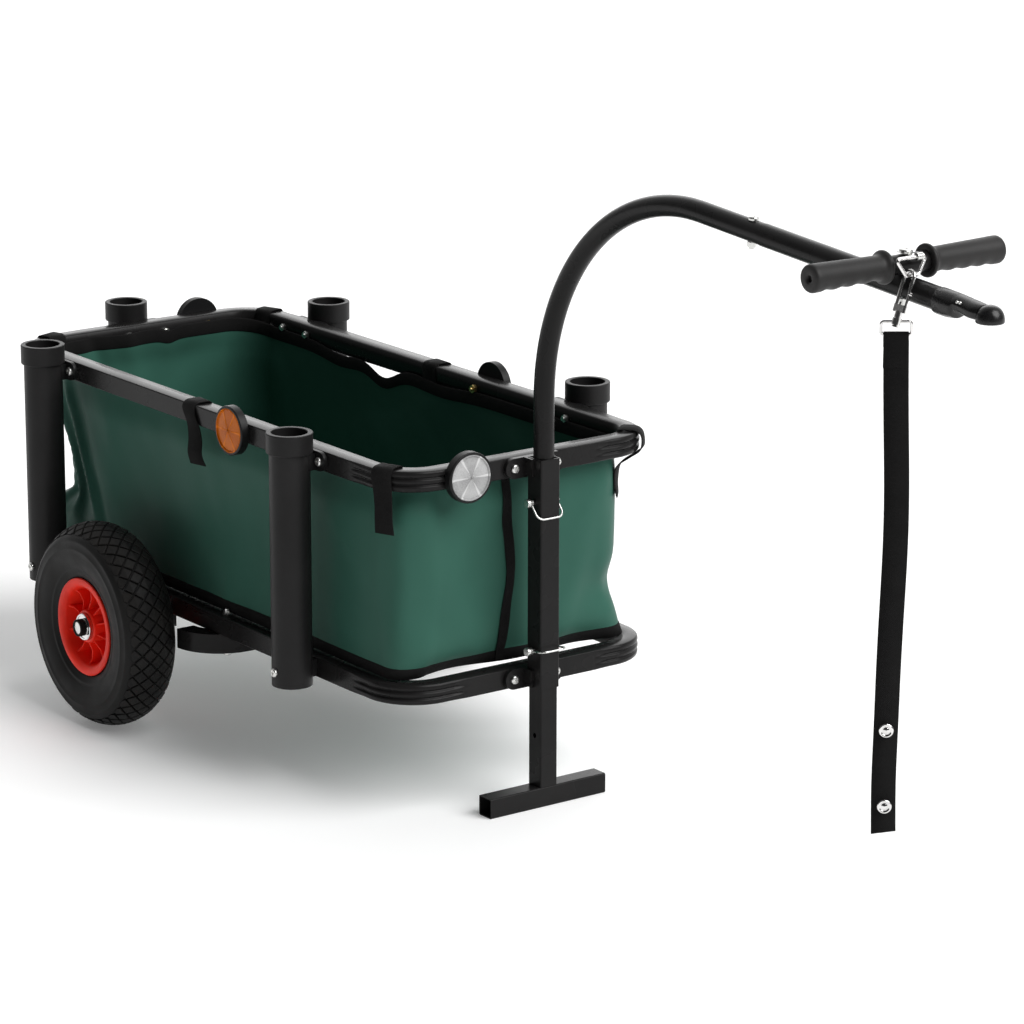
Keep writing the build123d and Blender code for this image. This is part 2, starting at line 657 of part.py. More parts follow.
def make_mast():
    foot = (COLUMN_X, 0, MAST_FOOT_Z)
    bend_start = (COLUMN_X, 0, BEND_START_Z)
    middle = radians(BEND_ANGLE / 2)
    bend_middle = (COLUMN_X + BEND_RADIUS * (1 - cos(middle)), 0, BEND_START_Z + BEND_RADIUS * sin(middle))
    bend_end = (BEND_END_X, 0, BEND_END_Z)
    seam_x, seam_z = drawbar_point(SEAM_RUN)
    path = Line(foot, bend_start) + ThreePointArc(bend_start, bend_middle, bend_end)
    path += Line(bend_end, (seam_x, 0, seam_z))
    section = Circle(MAST_RADIUS) - Circle(MAST_RADIUS - MAST_WALL)
    mast = sweep(Plane(origin=foot, z_dir=(0, 0, 1)) * section, path=path)
    mast -= pin_hole(UPPER_PIN_Z)
    mast -= DRAWBAR_FRAME * joint_drilling()
    save(mast, "mast")


def joint_drilling():
    return cylinder((SEAM_RUN - 20, 0, -30), (0, 0, 1), 3 + BOLT_CLEARANCE, 60)


def make_drawbar():
    end = SLEEVE_RUN[1] - 4
    spigot = MAST_RADIUS - MAST_WALL - 0.1
    bar = cylinder((SEAM_RUN, 0, 0), (1, 0, 0), DRAWBAR_RADIUS, end - SEAM_RUN)
    bar = chamfer(bar.edges().filter_by(GeomType.CIRCLE).sort_by(Axis.X)[0], 0.6)
    bar += cylinder((SEAM_RUN - SPIGOT_LENGTH, 0, 0), (1, 0, 0), spigot, SPIGOT_LENGTH + 1)
    bar -= cylinder((SEAM_RUN - SPIGOT_LENGTH, 0, 0), (1, 0, 0), spigot - 2, end - SEAM_RUN + SPIGOT_LENGTH)
    bar -= joint_drilling()
    bar -= cylinder((HANDLE_RUN, 0, -30), (0, 0, 1), 3 + BOLT_CLEARANCE, 60)
    save(DRAWBAR_FRAME * bar, "drawbar")
    bolt = screw((SEAM_RUN - 20, 0, MAST_RADIUS), (0, 0, 1), 3, 2 * MAST_RADIUS + 8, 6, 4)
    fixing = nut((SEAM_RUN - 20, 0, -MAST_RADIUS), (0, 0, -1), 3, 5.5, 5.5)
    save(DRAWBAR_FRAME * group([bolt, fixing]), "joint_bolt")


def make_coupler():
    low, high = SLEEVE_RUN
    sleeve = cylinder((low, 0, 0), (1, 0, 0), 14.6, high - low)
    sleeve = fillet(sleeve.edges().filter_by(GeomType.CIRCLE), 1.2)
    sleeve -= cylinder((low - 1, 0, 0), (1, 0, 0), DRAWBAR_RADIUS + 0.05, high - 4 - low + 1)
    neck_length = 40
    neck_plane = Plane(origin=(high - 1, 0, 2), z_dir=(1, 0, 0))
    start = neck_plane * RectangleRounded(19, 19, 5)
    end = neck_plane.offset(neck_length) * (Pos(4, 0) * RectangleRounded(12, 15, 4))
    neck = loft([start, end])
    body = DRAWBAR_FRAME * (sleeve + neck)
    centre = Vector(RING_FRONT + NOSE_REACH, 0, NOSE_BASE_Z)
    dome_space = cylinder(centre, (0, 0, 1), NOSE_RADIUS + 0.05, 40)
    save(body - dome_space, "coupler_body")
    save(Pos(*centre) * hitch_cup(), "coupler_cup")


def hitch_cup():
    """Round-nosed cup, open below, that drops over a tow ball."""
    height = 22
    dome = cylinder((0, 0, 0), (0, 0, 1), NOSE_RADIUS, height)
    dome = fillet(dome.edges().filter_by(GeomType.CIRCLE).sort_by(Axis.Z)[-1], 11)
    hollow = cylinder((0, 0, 0), (0, 0, 1), CUP_BORE, height - 5)
    return dome - fillet(hollow.edges().filter_by(GeomType.CIRCLE).sort_by(Axis.Z)[-1], 8)


# ---- handle -------------------------------------------------------------------------------
HANDLE_X, HANDLE_Z = drawbar_point(HANDLE_RUN, HANDLE_RISE)
EYE_X, EYE_Z = drawbar_point(HANDLE_RUN + EYE_FORWARD, HANDLE_RISE + EYE_RISE)


def bolt_drilling():
    return cylinder((HANDLE_RUN, 0, -30), (0, 0, 1), 3 + BOLT_CLEARANCE, 90)


def grip(side):
    """Moulded grip with an inner flange, finger waves underneath and a closed outer end."""
    low, high = GRIP_Y
    outward = (0, side, 0)
    bar = cylinder((0, side * low, 0), outward, GRIP_RADIUS, high - low)
    ends = bar.edges().filter_by(GeomType.CIRCLE).sort_by(Axis.Y)
    bar = fillet(ends[-1 if side > 0 else 0], 4)
    flange = cylinder((0, side * low, 0), outward, FLANGE_RADIUS, 5)
    bar += fillet(flange.edges().filter_by(GeomType.CIRCLE), 1.8)
    wave_radius = 15
    for index in range(4):
        y = side * (low + 22 + index * 21)
        bar -= cylinder((-30, y, -GRIP_RADIUS - wave_radius + 2.2), (1, 0, 0), wave_radius, 60)
    bar -= cylinder((0, side * low, 0), outward, HANDLE_RADIUS + 0.05, high - 4 - low)
    return Pos(HANDLE_X, 0, HANDLE_Z) * bar


def hanger():
    """Plate under the bolt's head whose curled front edge is the eye for the ring."""
    top = HANDLE_RISE + HANDLE_RADIUS
    eye_run = HANDLE_RUN + EYE_FORWARD
    eye_rise = HANDLE_RISE + EYE_RISE
    y_range = (-HANGER_WIDTH / 2, HANGER_WIDTH / 2)
    plate = block((HANDLE_RUN - 9, eye_run), y_range, (top, top + HANGER_THICKNESS))
    shell = WIRE + WIRE_FIT + HANGER_THICKNESS
    body = plate + cylinder((eye_run, -HANGER_WIDTH / 2, eye_rise), (0, 1, 0), shell, HANGER_WIDTH)
    body -= cylinder((eye_run, -HANGER_WIDTH / 2, eye_rise), (0, 1, 0), WIRE + WIRE_FIT, HANGER_WIDTH)
    return DRAWBAR_FRAME * (body - bolt_drilling())


def make_handle():
    end = GRIP_Y[1] - 4.2
    bar = tube((HANDLE_X, -end, HANDLE_Z), (0, 1, 0), HANDLE_RADIUS, HANDLE_RADIUS - 2, 2 * end)
    save(bar - DRAWBAR_FRAME * bolt_drilling(), "handlebar")
    for name, side in (("near", -1), ("far", 1)):
        save(grip(side), f"grip_{name}")
    save(hanger(), "ring_hanger")
    top = HANDLE_RISE + HANDLE_RADIUS + HANGER_THICKNESS
    bolt = screw((HANDLE_RUN, 0, top), (0, 0, 1), 3, top + DRAWBAR_RADIUS + 14, 7.5, 4)
    save(DRAWBAR_FRAME * bolt, "handle_bolt")
    wing_face = Plane.YZ * make_face(Polyline((3, -1), (17, -9), (17, -17), (9, -15), (3, -9), close=True))
    wing = extrude(wing_face, 1.2, both=True)
    body = cylinder((0, 0, 0), (0, 0, -1), 6, 9) + wing + mirror(wing, Plane.XZ)
    body -= cylinder((0, 0, 0), (0, 0, -1), 3 + BOLT_CLEARANCE, 20)
    save(DRAWBAR_FRAME * Pos(HANDLE_RUN, 0, -DRAWBAR_RADIUS) * Rot(0, 0, 35) * body, "wing_nut")


def make_delta_ring():
    """Triangular ring hanging from the hanger's eye, its blunt point down on the drawbar."""
    corners = ((-RING_HALF, 0), (RING_HALF, 0), (8, -RING_DROP), (-8, -RING_DROP))
    outline = make_face(Polyline(*corners, close=True))
    low = outline.vertices().sort_by(Axis.Y)
    outline = fillet(low[:2], 6)
    high = outline.vertices().sort_by(Axis.Y)
    outline = fillet(high[-2:], 2.8)
    path = (Plane.YZ * outline).wire()
    body = sweep(Plane(origin=path @ 0, z_dir=path % 0) * Circle(WIRE), path=path)
    save(Pos(EYE_X, RING_SHIFT, EYE_Z) * Rot(0, -RING_TILT, 0) * body, "delta_ring")


RING_LOW_X = EYE_X + RING_DROP * sin(radians(RING_TILT))
RING_LOW_Z = EYE_Z - RING_DROP * cos(radians(RING_TILT))
HOOK_FRAME = Pos(RING_LOW_X, HOOK_Y, RING_LOW_Z - HOOK_SAG) * Rot(-HOOK_LEAN, 0, 0)
SWIVEL_MID = (SWIVEL_Z[0] + SWIVEL_Z[1]) / 2
LOOP_X = RING_LOW_X
LOOP_Y = HOOK_Y + SWIVEL_MID * sin(radians(HOOK_LEAN))
LOOP_Z = RING_LOW_Z - HOOK_SAG + SWIVEL_MID * cos(radians(HOOK_LEAN))
LOOP_FRAME = Pos(LOOP_X, LOOP_Y, LOOP_Z) * Rot(0, 0, STRAP_HEADING)
STRAP_FRAME = LOOP_FRAME * Pos(0, 0, -LOOP_DROP)


def swivel_bore():
    return HOOK_FRAME * cylinder((0, 0, SWIVEL_Z[0] - 5), (0, 0, 1), 2.4 + WIRE_FIT, 20)


def make_hook():
    """Bolt snap: hooked wire on a yoke, a sliding gate and a swivel shank below."""
    bend = HOOK_BEND
    back = Line((-bend, 0, YOKE_Z[0] + 3), (-bend, 0, 0))
    path = back + ThreePointArc((-bend, 0, 0), (0, 0, bend), (bend, 0, 0))
    path += Line((bend, 0, 0), (bend, 0, -HOOK_NOSE))
    body = sweep(Plane(origin=back @ 0, z_dir=(0, 0, 1)) * Circle(HOOK_WIRE), path=path)
    yoke = block((-bend - 2.6, bend + 2.6), (-2.6, 2.6), YOKE_Z)
    body += fillet(yoke.edges().filter_by(Axis.Z), 2.4)
    body += cylinder((0, 0, SWIVEL_Z[1] + 0.3), (0, 0, 1), 4.2, YOKE_Z[0] - SWIVEL_Z[1] + 1)
    body += cylinder((0, 0, SWIVEL_Z[0] - 1), (0, 0, 1), 2.4, 10)
    body += cylinder((0, 0, SWIVEL_Z[0] - 0.3), (0, 0, -1), 3.8, 2.2)
    body -= cylinder((bend, 0, YOKE_Z[0] - 1), (0, 0, 1), GATE_WIRE + WIRE_FIT, YOKE_Z[1] - YOKE_Z[0] + 2)
    save(HOOK_FRAME * body, "hook_body")
    gate = cylinder((bend, 0, GATE_Z[0]), (0, 0, 1), GATE_WIRE, GATE_Z[1] - GATE_Z[0])
    gate += cylinder((bend, 0, GATE_KNOB_Z), (1, 0, 0), 1.6, 5.5)
    save(HOOK_FRAME * gate, "hook_gate")


def make_loop():
    """Rectangular wire loop on a swivel boss; the strap wraps round its lower bar."""
    outline = RectangleRounded(2 * LOOP_HALF, LOOP_DROP, 3)
    path = (Plane.XZ * Pos(0, -LOOP_DROP / 2) * outline).face().outer_wire()
    frame = sweep(Plane(origin=path @ 0, z_dir=path % 0) * Circle(LOOP_WIRE), path=path)
    boss = cylinder((0, 0, SWIVEL_Z[0]), (0, 0, 1), 5, SWIVEL_Z[1] - SWIVEL_Z[0])
    head_room = cylinder((0, 0, SWIVEL_Z[0]), (0, 0, -1), 4.2, 4)
    body = LOOP_FRAME * frame + HOOK_FRAME * boss
    save(body - swivel_bore() - HOOK_FRAME * head_room, "hook_loop")


def make_strap():
    """Flat webbing folded round the loop's bar, with two snap studs near its free end."""
    eye = LOOP_WIRE + WIRE_FIT
    outer = eye + STRAP_THICKNESS
    half = STRAP_THICKNESS / 2
    end = STRAP_END_Z - (LOOP_Z - LOOP_DROP)
    points = [(-outer, 0), (outer, 0), (2 * half, -14), (2 * half, -STRAP_FOLD), (half, -STRAP_FOLD)]
    points += [(half, end), (-half, end), (-half, -STRAP_FOLD), (-2 * half, -STRAP_FOLD), (-2 * half, -14)]
    profile = make_face(Polyline(*points, close=True)) + Circle(outer) - Circle(eye)
    strap = extrude(Plane.YZ * profile, STRAP_WIDTH / 2, both=True)
    studs = []
    for height in STUD_HEIGHTS:
        z = height - (LOOP_Z - LOOP_DROP)
        strap -= cylinder((0, -5, z), (0, 1, 0), 2.1, 10)
        stud = cylinder((0, -half - 3, z), (0, 1, 0), 8, 3) + cylinder((0, half, z), (0, 1, 0), 6, 1.5)
        studs.append(STRAP_FRAME * (stud + cylinder((0, -half - 1, z), (0, 1, 0), 2, 3)))
    save(STRAP_FRAME * strap, "strap")
    save(group(studs), "strap_studs")


os.makedirs("parts", exist_ok=True)
make_rings()
make_holders()
make_reflectors()
make_column()
make_stand()
make_pins()
make_wheel("near", -1)
make_wheel("far", 1)
make_axle()
make_guard()
make_bag()
make_ties()
make_mast()
make_drawbar()
make_coupler()
make_handle()
make_delta_ring()
make_hook()
make_loop()
make_strap()
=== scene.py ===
from math import cos, exp, hypot, pi, radians, sin

import bmesh
import bpy
from mathutils import Matrix, Vector, noise


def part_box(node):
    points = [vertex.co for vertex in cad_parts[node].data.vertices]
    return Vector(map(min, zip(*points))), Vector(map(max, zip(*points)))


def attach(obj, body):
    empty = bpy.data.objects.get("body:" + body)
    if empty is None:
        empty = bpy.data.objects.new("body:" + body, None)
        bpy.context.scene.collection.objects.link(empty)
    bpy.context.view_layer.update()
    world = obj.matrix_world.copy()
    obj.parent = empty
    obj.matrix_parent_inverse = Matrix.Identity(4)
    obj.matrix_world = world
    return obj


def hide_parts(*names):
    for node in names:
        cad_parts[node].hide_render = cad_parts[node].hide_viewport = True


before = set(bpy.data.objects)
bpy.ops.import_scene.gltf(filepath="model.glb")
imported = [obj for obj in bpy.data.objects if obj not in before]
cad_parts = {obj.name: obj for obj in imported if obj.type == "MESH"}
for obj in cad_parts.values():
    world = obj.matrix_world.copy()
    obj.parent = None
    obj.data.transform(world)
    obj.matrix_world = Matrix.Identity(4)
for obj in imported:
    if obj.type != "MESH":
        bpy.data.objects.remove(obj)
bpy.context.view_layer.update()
scene = bpy.context.scene
MM = 0.001

# The two rings of square tube, in the frame's metres: everything soft is worked out from them.
ring_low, ring_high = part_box("top_ring_front")
base_low, base_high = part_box("bottom_ring_front")
FRONT = ring_high[0]
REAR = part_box("top_ring_rear")[0][0]
SIDE = ring_high[1]
TOP = (ring_low[2], ring_high[2])
BASE = (base_low[2], base_high[2])
TUBE = TOP[1] - TOP[0]
# The outer radius of the rings' corner bends.
BEND = 0.066
UP = Vector((0, 0, 1))


# ---------------------------------------------------------------- camera
def make_camera():
    """Long lens at about head height, turned a little down, seeing the near side and the front."""
    data = bpy.data.cameras.new("Camera")
    data.lens = 151.85
    data.sensor_width = 36
    data.clip_end = 50
    camera = bpy.data.objects.new("Camera", data)
    back = Vector((0.7788, -0.5707, 0.2603)).normalized()
    right = Vector((0.591, 0.8067, 0.0014)).normalized()
    up = back.cross(right).normalized()
    turn = Matrix((right, up, back)).transposed().to_4x4()
    place = Vector((FRONT + 4.0072, -2.9681, 1.7062))
    camera.matrix_world = Matrix.Translation(place) @ turn
    scene.collection.objects.link(camera)
    scene.camera = camera


# ---------------------------------------------------------------- materials
def new_material(name):
    mat = bpy.data.materials.new(name)
    mat.use_nodes = True
    return mat, mat.node_tree, mat.node_tree.nodes["Principled BSDF"]


def noise_node(tree, scale, detail=4.0, rough=0.55, stretch=(1, 1, 1)):
    """Noise in object space, at so many waves to the metre."""
    coords = tree.nodes.new("ShaderNodeTexCoord")
    mapping = tree.nodes.new("ShaderNodeMapping")
    mapping.inputs["Scale"].default_value = stretch
    tree.links.new(coords.outputs["Object"], mapping.inputs["Vector"])
    tex = tree.nodes.new("ShaderNodeTexNoise")
    tex.inputs["Scale"].default_value = scale
    tex.inputs["Detail"].default_value = detail
    tex.inputs["Roughness"].default_value = rough
    tree.links.new(mapping.outputs["Vector"], tex.inputs["Vector"])
    return tex


def ramp(tree, source, stops):
    """A colour ramp over a source; each stop is a place and a colour."""
    node = tree.nodes.new("ShaderNodeValToRGB")
    elements = node.color_ramp.elements
    while len(elements) < len(stops):
        elements.new(0.5)
    for element, (place, colour) in zip(elements, stops):
        element.position = place
        element.color = (*colour, 1)
    tree.links.new(source, node.inputs["Fac"])
    return node


def mapped(tree, source, low, high, start=0.3, stop=0.7):
    """The source's range from start to stop as values from low to high."""
    node = tree.nodes.new("ShaderNodeMapRange")
    node.inputs["From Min"].default_value = start
    node.inputs["From Max"].default_value = stop
    node.inputs["To Min"].default_value = low
    node.inputs["To Max"].default_value = high
    tree.links.new(source, node.inputs["Value"])
    return node.outputs["Result"]


def bump(tree, shader, height, distance, strength, below=None):
    """Small relief on a shader, on top of another bump where below is one."""
    node = tree.nodes.new("ShaderNodeBump")
    node.inputs["Distance"].default_value = distance
    node.inputs["Strength"].default_value = strength
    tree.links.new(height, node.inputs["Height"])
    if below is not None:
        tree.links.new(below.outputs["Normal"], node.inputs["Normal"])
    tree.links.new(node.outputs["Normal"], shader.inputs["Normal"])
    return node


def powder_coat():
    """Satin black paint with a faint orange peel."""
    mat, tree, shader = new_material("powder_coat_black")
    broad = noise_node(tree, 14, 3)
    peel = noise_node(tree, 900, 2, 0.5)
    stops = [(0.3, (0.0098, 0.0095, 0.0096)), (0.7, (0.0135, 0.0130, 0.0130))]
    tint = ramp(tree, broad.outputs["Fac"], stops)
    tree.links.new(tint.outputs["Color"], shader.inputs["Base Color"])
    tree.links.new(mapped(tree, broad.outputs["Fac"], 0.24, 0.31), shader.inputs["Roughness"])
    shader.inputs["Specular IOR Level"].default_value = 0.11
    bump(tree, shader, peel.outputs["Fac"], 0.00005, 0.3)
    return mat


def moulded_plastic(name, base, rough, grain=700, depth=0.00008, gloss=0.2):
    """Plastic or rubber with a fine moulded grain."""
    mat, tree, shader = new_material(name)
    shader.inputs["Specular IOR Level"].default_value = gloss
    broad = noise_node(tree, 18, 3)
    fine = noise_node(tree, grain, 3, 0.6)
    dark = tuple(c * 0.82 for c in base)
    light = tuple(c * 1.18 for c in base)
    tint = ramp(tree, broad.outputs["Fac"], [(0.3, dark), (0.7, light)])
    tree.links.new(tint.outputs["Color"], shader.inputs["Base Color"])
    tree.links.new(mapped(tree, fine.outputs["Fac"], rough - 0.05, rough + 0.07), shader.inputs["Roughness"])
    bump(tree, shader, fine.outputs["Fac"], depth, 0.6)
    return mat


def plated_metal(name, base, rough, scratch=160):
    """Bright metal with stretched smears."""
    mat, tree, shader = new_material(name)
    shader.inputs["Metallic"].default_value = 1.0
    smear = noise_node(tree, scratch, 5, 0.65, (1, 1, 0.25))
    dark = tuple(c * 0.8 for c in base)
    tint = ramp(tree, smear.outputs["Fac"], [(0.3, dark), (0.62, base)])
    tree.links.new(tint.outputs["Color"], shader.inputs["Base Color"])
    tree.links.new(mapped(tree, smear.outputs["Fac"], rough * 0.7, rough * 1.5), shader.inputs["Roughness"])
    bump(tree, shader, smear.outputs["Fac"], 0.00005, 0.3)
    return mat


def tyre_rubber(name, dust):
    """Matt black rubber with a little pale dust on it."""
    mat, tree, shader = new_material(name)
    broad = noise_node(tree, 30, 5, 0.6)
    fine = noise_node(tree, 420, 4, 0.65)
    light = (0.007 + dust, 0.0068 + dust * 0.86, 0.0066 + dust * 0.72)
    shader.inputs["Specular IOR Level"].default_value = 0.2
    tint = ramp(tree, broad.outputs["Fac"], [(0.34, (0.0042, 0.0042, 0.0044)), (0.68, light)])
    tree.links.new(tint.outputs["Color"], shader.inputs["Base Color"])
    tree.links.new(mapped(tree, broad.outputs["Fac"], 0.5, 0.66), shader.inputs["Roughness"])
    bump(tree, shader, fine.outputs["Fac"], 0.00018, 0.55)
    return mat


def tarpaulin():
    """Coated green fabric: a faint sheen, small crumples, a barely visible weave and soft colour drift."""
    mat, tree, shader = new_material("tarpaulin_green")
    broad = noise_node(tree, 5, 5, 0.55)
    stops = [(0.3, (0.029, 0.092, 0.069)), (0.72, (0.036, 0.109, 0.081))]
    tint = ramp(tree, broad.outputs["Fac"], stops)
    tree.links.new(tint.outputs["Color"], shader.inputs["Base Color"])
    tree.links.new(mapped(tree, broad.outputs["Fac"], 0.40, 0.52), shader.inputs["Roughness"])
    shader.inputs["Specular IOR Level"].default_value = 0.06
    shader.inputs["Sheen Weight"].default_value = 0.02
    shader.inputs["Sheen Roughness"].default_value = 0.45
    crumple = noise_node(tree, 38, 3, 0.5)
    low = bump(tree, shader, crumple.outputs["Fac"], 0.0012, 0.22)
    weave = weave_height(tree, 2600)
    bump(tree, shader, weave, 0.00006, 0.35, low)
    return mat


def math_node(tree, operation, *values):
    """The result of a math node; each value is a socket or a number."""
    node = tree.nodes.new("ShaderNodeMath")
    node.operation = operation
    for socket, value in zip(node.inputs, values):
        if isinstance(value, (int, float)):
            socket.default_value = value
        else:
            tree.links.new(value, socket)
    return node.outputs["Value"]


def weave_height(tree, scale):
    """Two crossed sets of threads, as the product of waves along all three object axes."""
    coords = tree.nodes.new("ShaderNodeTexCoord")
    split = tree.nodes.new("ShaderNodeSeparateXYZ")
    tree.links.new(coords.outputs["Object"], split.inputs["Vector"])
    along = math_node(tree, "ADD", split.outputs["X"], split.outputs["Y"])
    waves = [math_node(tree, "SINE", math_node(tree, "MULTIPLY", source, scale))
             for source in (along, split.outputs["Z"])]
    return math_node(tree, "MULTIPLY", *waves)


def webbing(name, base, scale=2400):
    """Matt woven tape."""
    mat, tree, shader = new_material(name)
    broad = noise_node(tree, 60, 4)
    tint = ramp(tree, broad.outputs["Fac"], [(0.3, tuple(c * 0.75 for c in base)), (0.7, base)])
    tree.links.new(tint.outputs["Color"], shader.inputs["Base Color"])
    shader.inputs["Roughness"].default_value = 0.85
    shader.inputs["Specular IOR Level"].default_value = 0.15
    bump(tree, shader, weave_height(tree, scale), 0.0003, 0.8)
    return mat


def lens_material(name, base, pale):
    """Prismatic reflector with painted light: six sectors of slightly different painted shade, each prism
    cell painted brighter towards its edge, and bright lines between the sectors as painted highlights.
    """
    mat, tree, shader = new_material(name)
    coords = tree.nodes.new("ShaderNodeTexCoord")
    split = tree.nodes.new("ShaderNodeSeparateXYZ")
    tree.links.new(coords.outputs["Object"], split.inputs["Vector"])
    angle = math_node(tree, "ARCTAN2", split.outputs["Y"], split.outputs["X"])
    sector = math_node(tree, "SINE", math_node(tree, "MULTIPLY", angle, 3.0))
    # Painted shade: each of the six sectors gets a slightly different tone, as if its facets met the light at
    # another angle.
    painted_sector_shade = mapped(tree, sector, 0.30, 0.44, -0.06, 0.06)
    prisms = tree.nodes.new("ShaderNodeTexVoronoi")
    prisms.inputs["Scale"].default_value = 620
    prisms.inputs["Randomness"].default_value = 0.25
    tree.links.new(coords.outputs["Object"], prisms.inputs["Vector"])
    # Painted light: the prism cells' brightness, growing towards each cell's edge, is added to the sector
    # shade.
    painted_prism_and_sector_light = math_node(tree, "MULTIPLY_ADD", prisms.outputs["Distance"], 0.5, painted_sector_shade)
    # Painted highlight: bright lines along the edges between the sectors.
    painted_spoke_highlight = mapped(tree, math_node(tree, "ABSOLUTE", sector), 0.8, 0.0, 0.02, 0.24)
    tint = ramp(tree, math_node(tree, "ADD", painted_prism_and_sector_light, painted_spoke_highlight), [(0.1, base), (1.0, pale)])
    tree.links.new(tint.outputs["Color"], shader.inputs["Base Color"])
    shader.inputs["Roughness"].default_value = 0.3
    shader.inputs["Specular IOR Level"].default_value = 0.08
    shader.inputs["Coat Weight"].default_value = 0.06
    shader.inputs["Coat Roughness"].default_value = 0.1
    bump(tree, shader, prisms.outputs["Distance"], 0.0006, 0.5)
    return mat


BLACK = powder_coat()
PLASTIC = moulded_plastic("holder_plastic", (0.0098, 0.0094, 0.0096), 0.46)
HOUSING = moulded_plastic("reflector_back", (0.0065, 0.0065, 0.0067), 0.42)
RUBBER = moulded_plastic("grip_rubber", (0.0195, 0.0188, 0.0186), 0.5, 520, 0.00016, 0.24)
NOSE = moulded_plastic("coupler_black", (0.0075, 0.0075, 0.0078), 0.26, 300, 0.00005, 0.32)
RED = moulded_plastic("rim_red", (0.86, 0.030, 0.014), 0.4, 260, 0.00006, 0.16)
ZINC = plated_metal("zinc_plate", (0.72, 0.72, 0.70), 0.26)
BRASS = plated_metal("brass_nut", (0.62, 0.47, 0.2), 0.3)
CHROME = plated_metal("chrome_wire", (0.80, 0.79, 0.78), 0.14, 90)
TYRE = tyre_rubber("tyre_sidewall", 0.002)
TREAD = tyre_rubber("tyre_tread", 0.007)
GREEN = tarpaulin()
WEB = webbing("webbing_black", (0.0062, 0.0060, 0.0060))
BINDING = webbing("binding_black", (0.0066, 0.0063, 0.0063), 3600)
AMBER = lens_material("lens_amber", (0.24, 0.036, 0.0004), (0.68, 0.17, 0.003))
CLEAR = lens_material("lens_clear", (0.06, 0.06, 0.061), (0.56, 0.56, 0.56))
REDLENS = lens_material("lens_red", (0.30, 0.006, 0.004), (0.80, 0.04, 0.02))
# Near-black for the axle caps and valve stems, and also the painted shade laid where the valve holes are.
BLACK_AND_HOLE_SHADE = moulded_plastic("black_parts_and_painted_hole_shade", (0.003, 0.003, 0.003), 0.7)


# ---------------------------------------------------------------- mesh helpers
def piece(name, verts, faces, mat, body, smooth=True):
    """A visible mesh with its material and slot, riding on a body if one is named."""
    mesh = bpy.data.meshes.new(name)
    mesh.from_pydata([tuple(v) for v in verts], [], faces)
    mesh.validate()
    mesh.update()
    fixer = bmesh.new()
    fixer.from_mesh(mesh)
    bmesh.ops.remove_doubles(fixer, verts=fixer.verts, dist=1e-6)
    bmesh.ops.recalc_face_normals(fixer, faces=fixer.faces)
    fixer.to_mesh(mesh)
    fixer.free()
    mesh.materials.append(mat)
    for polygon in mesh.polygons:
        polygon.use_smooth = smooth
    obj = bpy.data.objects.new(name, mesh)
    scene.collection.objects.link(obj)
    if body:
        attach(obj, body)
    return obj


def grid_faces(rows, columns, start=0):
    """Quads between rows of points, each row a closed loop."""
    faces = []
    for row in range(rows - 1):
        for column in range(columns):
            after = (column + 1) % columns
            low = start + row * columns
            high = low + columns
            faces.append((low + column, low + after, high + after, high + column))
    return faces


def lathe(profile, steps, place):
    """Vertices and faces of a profile of (radius, height) turned about the local Z axis."""
    verts = []
    for radius, height in profile:
        for step in range(steps):
            turn = 2 * pi * step / steps
            verts.append(place @ Vector((radius * cos(turn), radius * sin(turn), height)))
    return verts, grid_faces(len(profile), steps)


def in_metres(profile):
    return [(radius * MM, height * MM) for radius, height in profile]


def add_mesh(store, more):
    """Add another mesh's vertices and faces to a store of them."""
    verts, faces = more
    start = len(store[0])
    store[0].extend(verts)
    store[1].extend([tuple(start + i for i in face) for face in faces])


def auto_smooth(obj, angle):
    """Mark the edges sharp where faces meet at more than the angle, in degrees."""
    mesh = obj.data
    edges = bmesh.new()
    edges.from_mesh(mesh)
    for edge in edges.edges:
        edge.smooth = not (len(edge.link_faces) == 2 and edge.calc_face_angle(0) > radians(angle))
    edges.to_mesh(mesh)
    edges.free()


def ribbon(name, points, across, width, thick, mat, body):
    """Flat strap along points; across is the width direction at each point."""
    half = width / 2
    flat = half * 0.97
    edge = thick / 4
    low_side = [(-half, -edge), (-flat, -thick / 2), (flat, -thick / 2), (half, -edge)]
    section = low_side + [(-s, -t) for s, t in low_side]
    verts = []
    for index, point in enumerate(points):
        ahead = points[min(index + 1, len(points) - 1)] - points[max(index - 1, 0)]
        side = across[index].normalized()
        out = ahead.cross(side).normalized()
        for s, t in section:
            verts.append(point + side * s + out * t)
    faces = grid_faces(len(points), len(section))
    faces.append(tuple(range(len(section)))[::-1])
    last = (len(points) - 1) * len(section)
    faces.append(tuple(last + i for i in range(len(section))))
    obj = piece(name, verts, faces, mat, body)
    auto_smooth(obj, 50)
    return obj


def smooth_path(points, steps):
    """Catmull-Rom line through a few points."""
    line = []
    for index in range(len(points) - 1):
        p0 = points[max(index - 1, 0)]
        p1 = points[index]
        p2 = points[index + 1]
        p3 = points[min(index + 2, len(points) - 1)]
        for step in range(steps):
            t = step / steps
            curve = (2 * p0 - 5 * p1 + 4 * p2 - p3) * t * t + (3 * p1 - p0 - 3 * p2 + p3) * t ** 3
            line.append(0.5 * (2 * p1 + (p2 - p0) * t + curve))
    line.append(points[-1])
    return line


def centre(node):
    """The middle of a CAD node's box."""
    low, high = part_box(node)
    return (Vector(low) + Vector(high)) / 2


# ---------------------------------------------------------------- carried-over CAD pieces
def paint(nodes, mat):
    """Give CAD pieces that stay visible their material."""
    for name in nodes:
        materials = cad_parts[name].data.materials
        materials.clear()
        materials.append(mat)


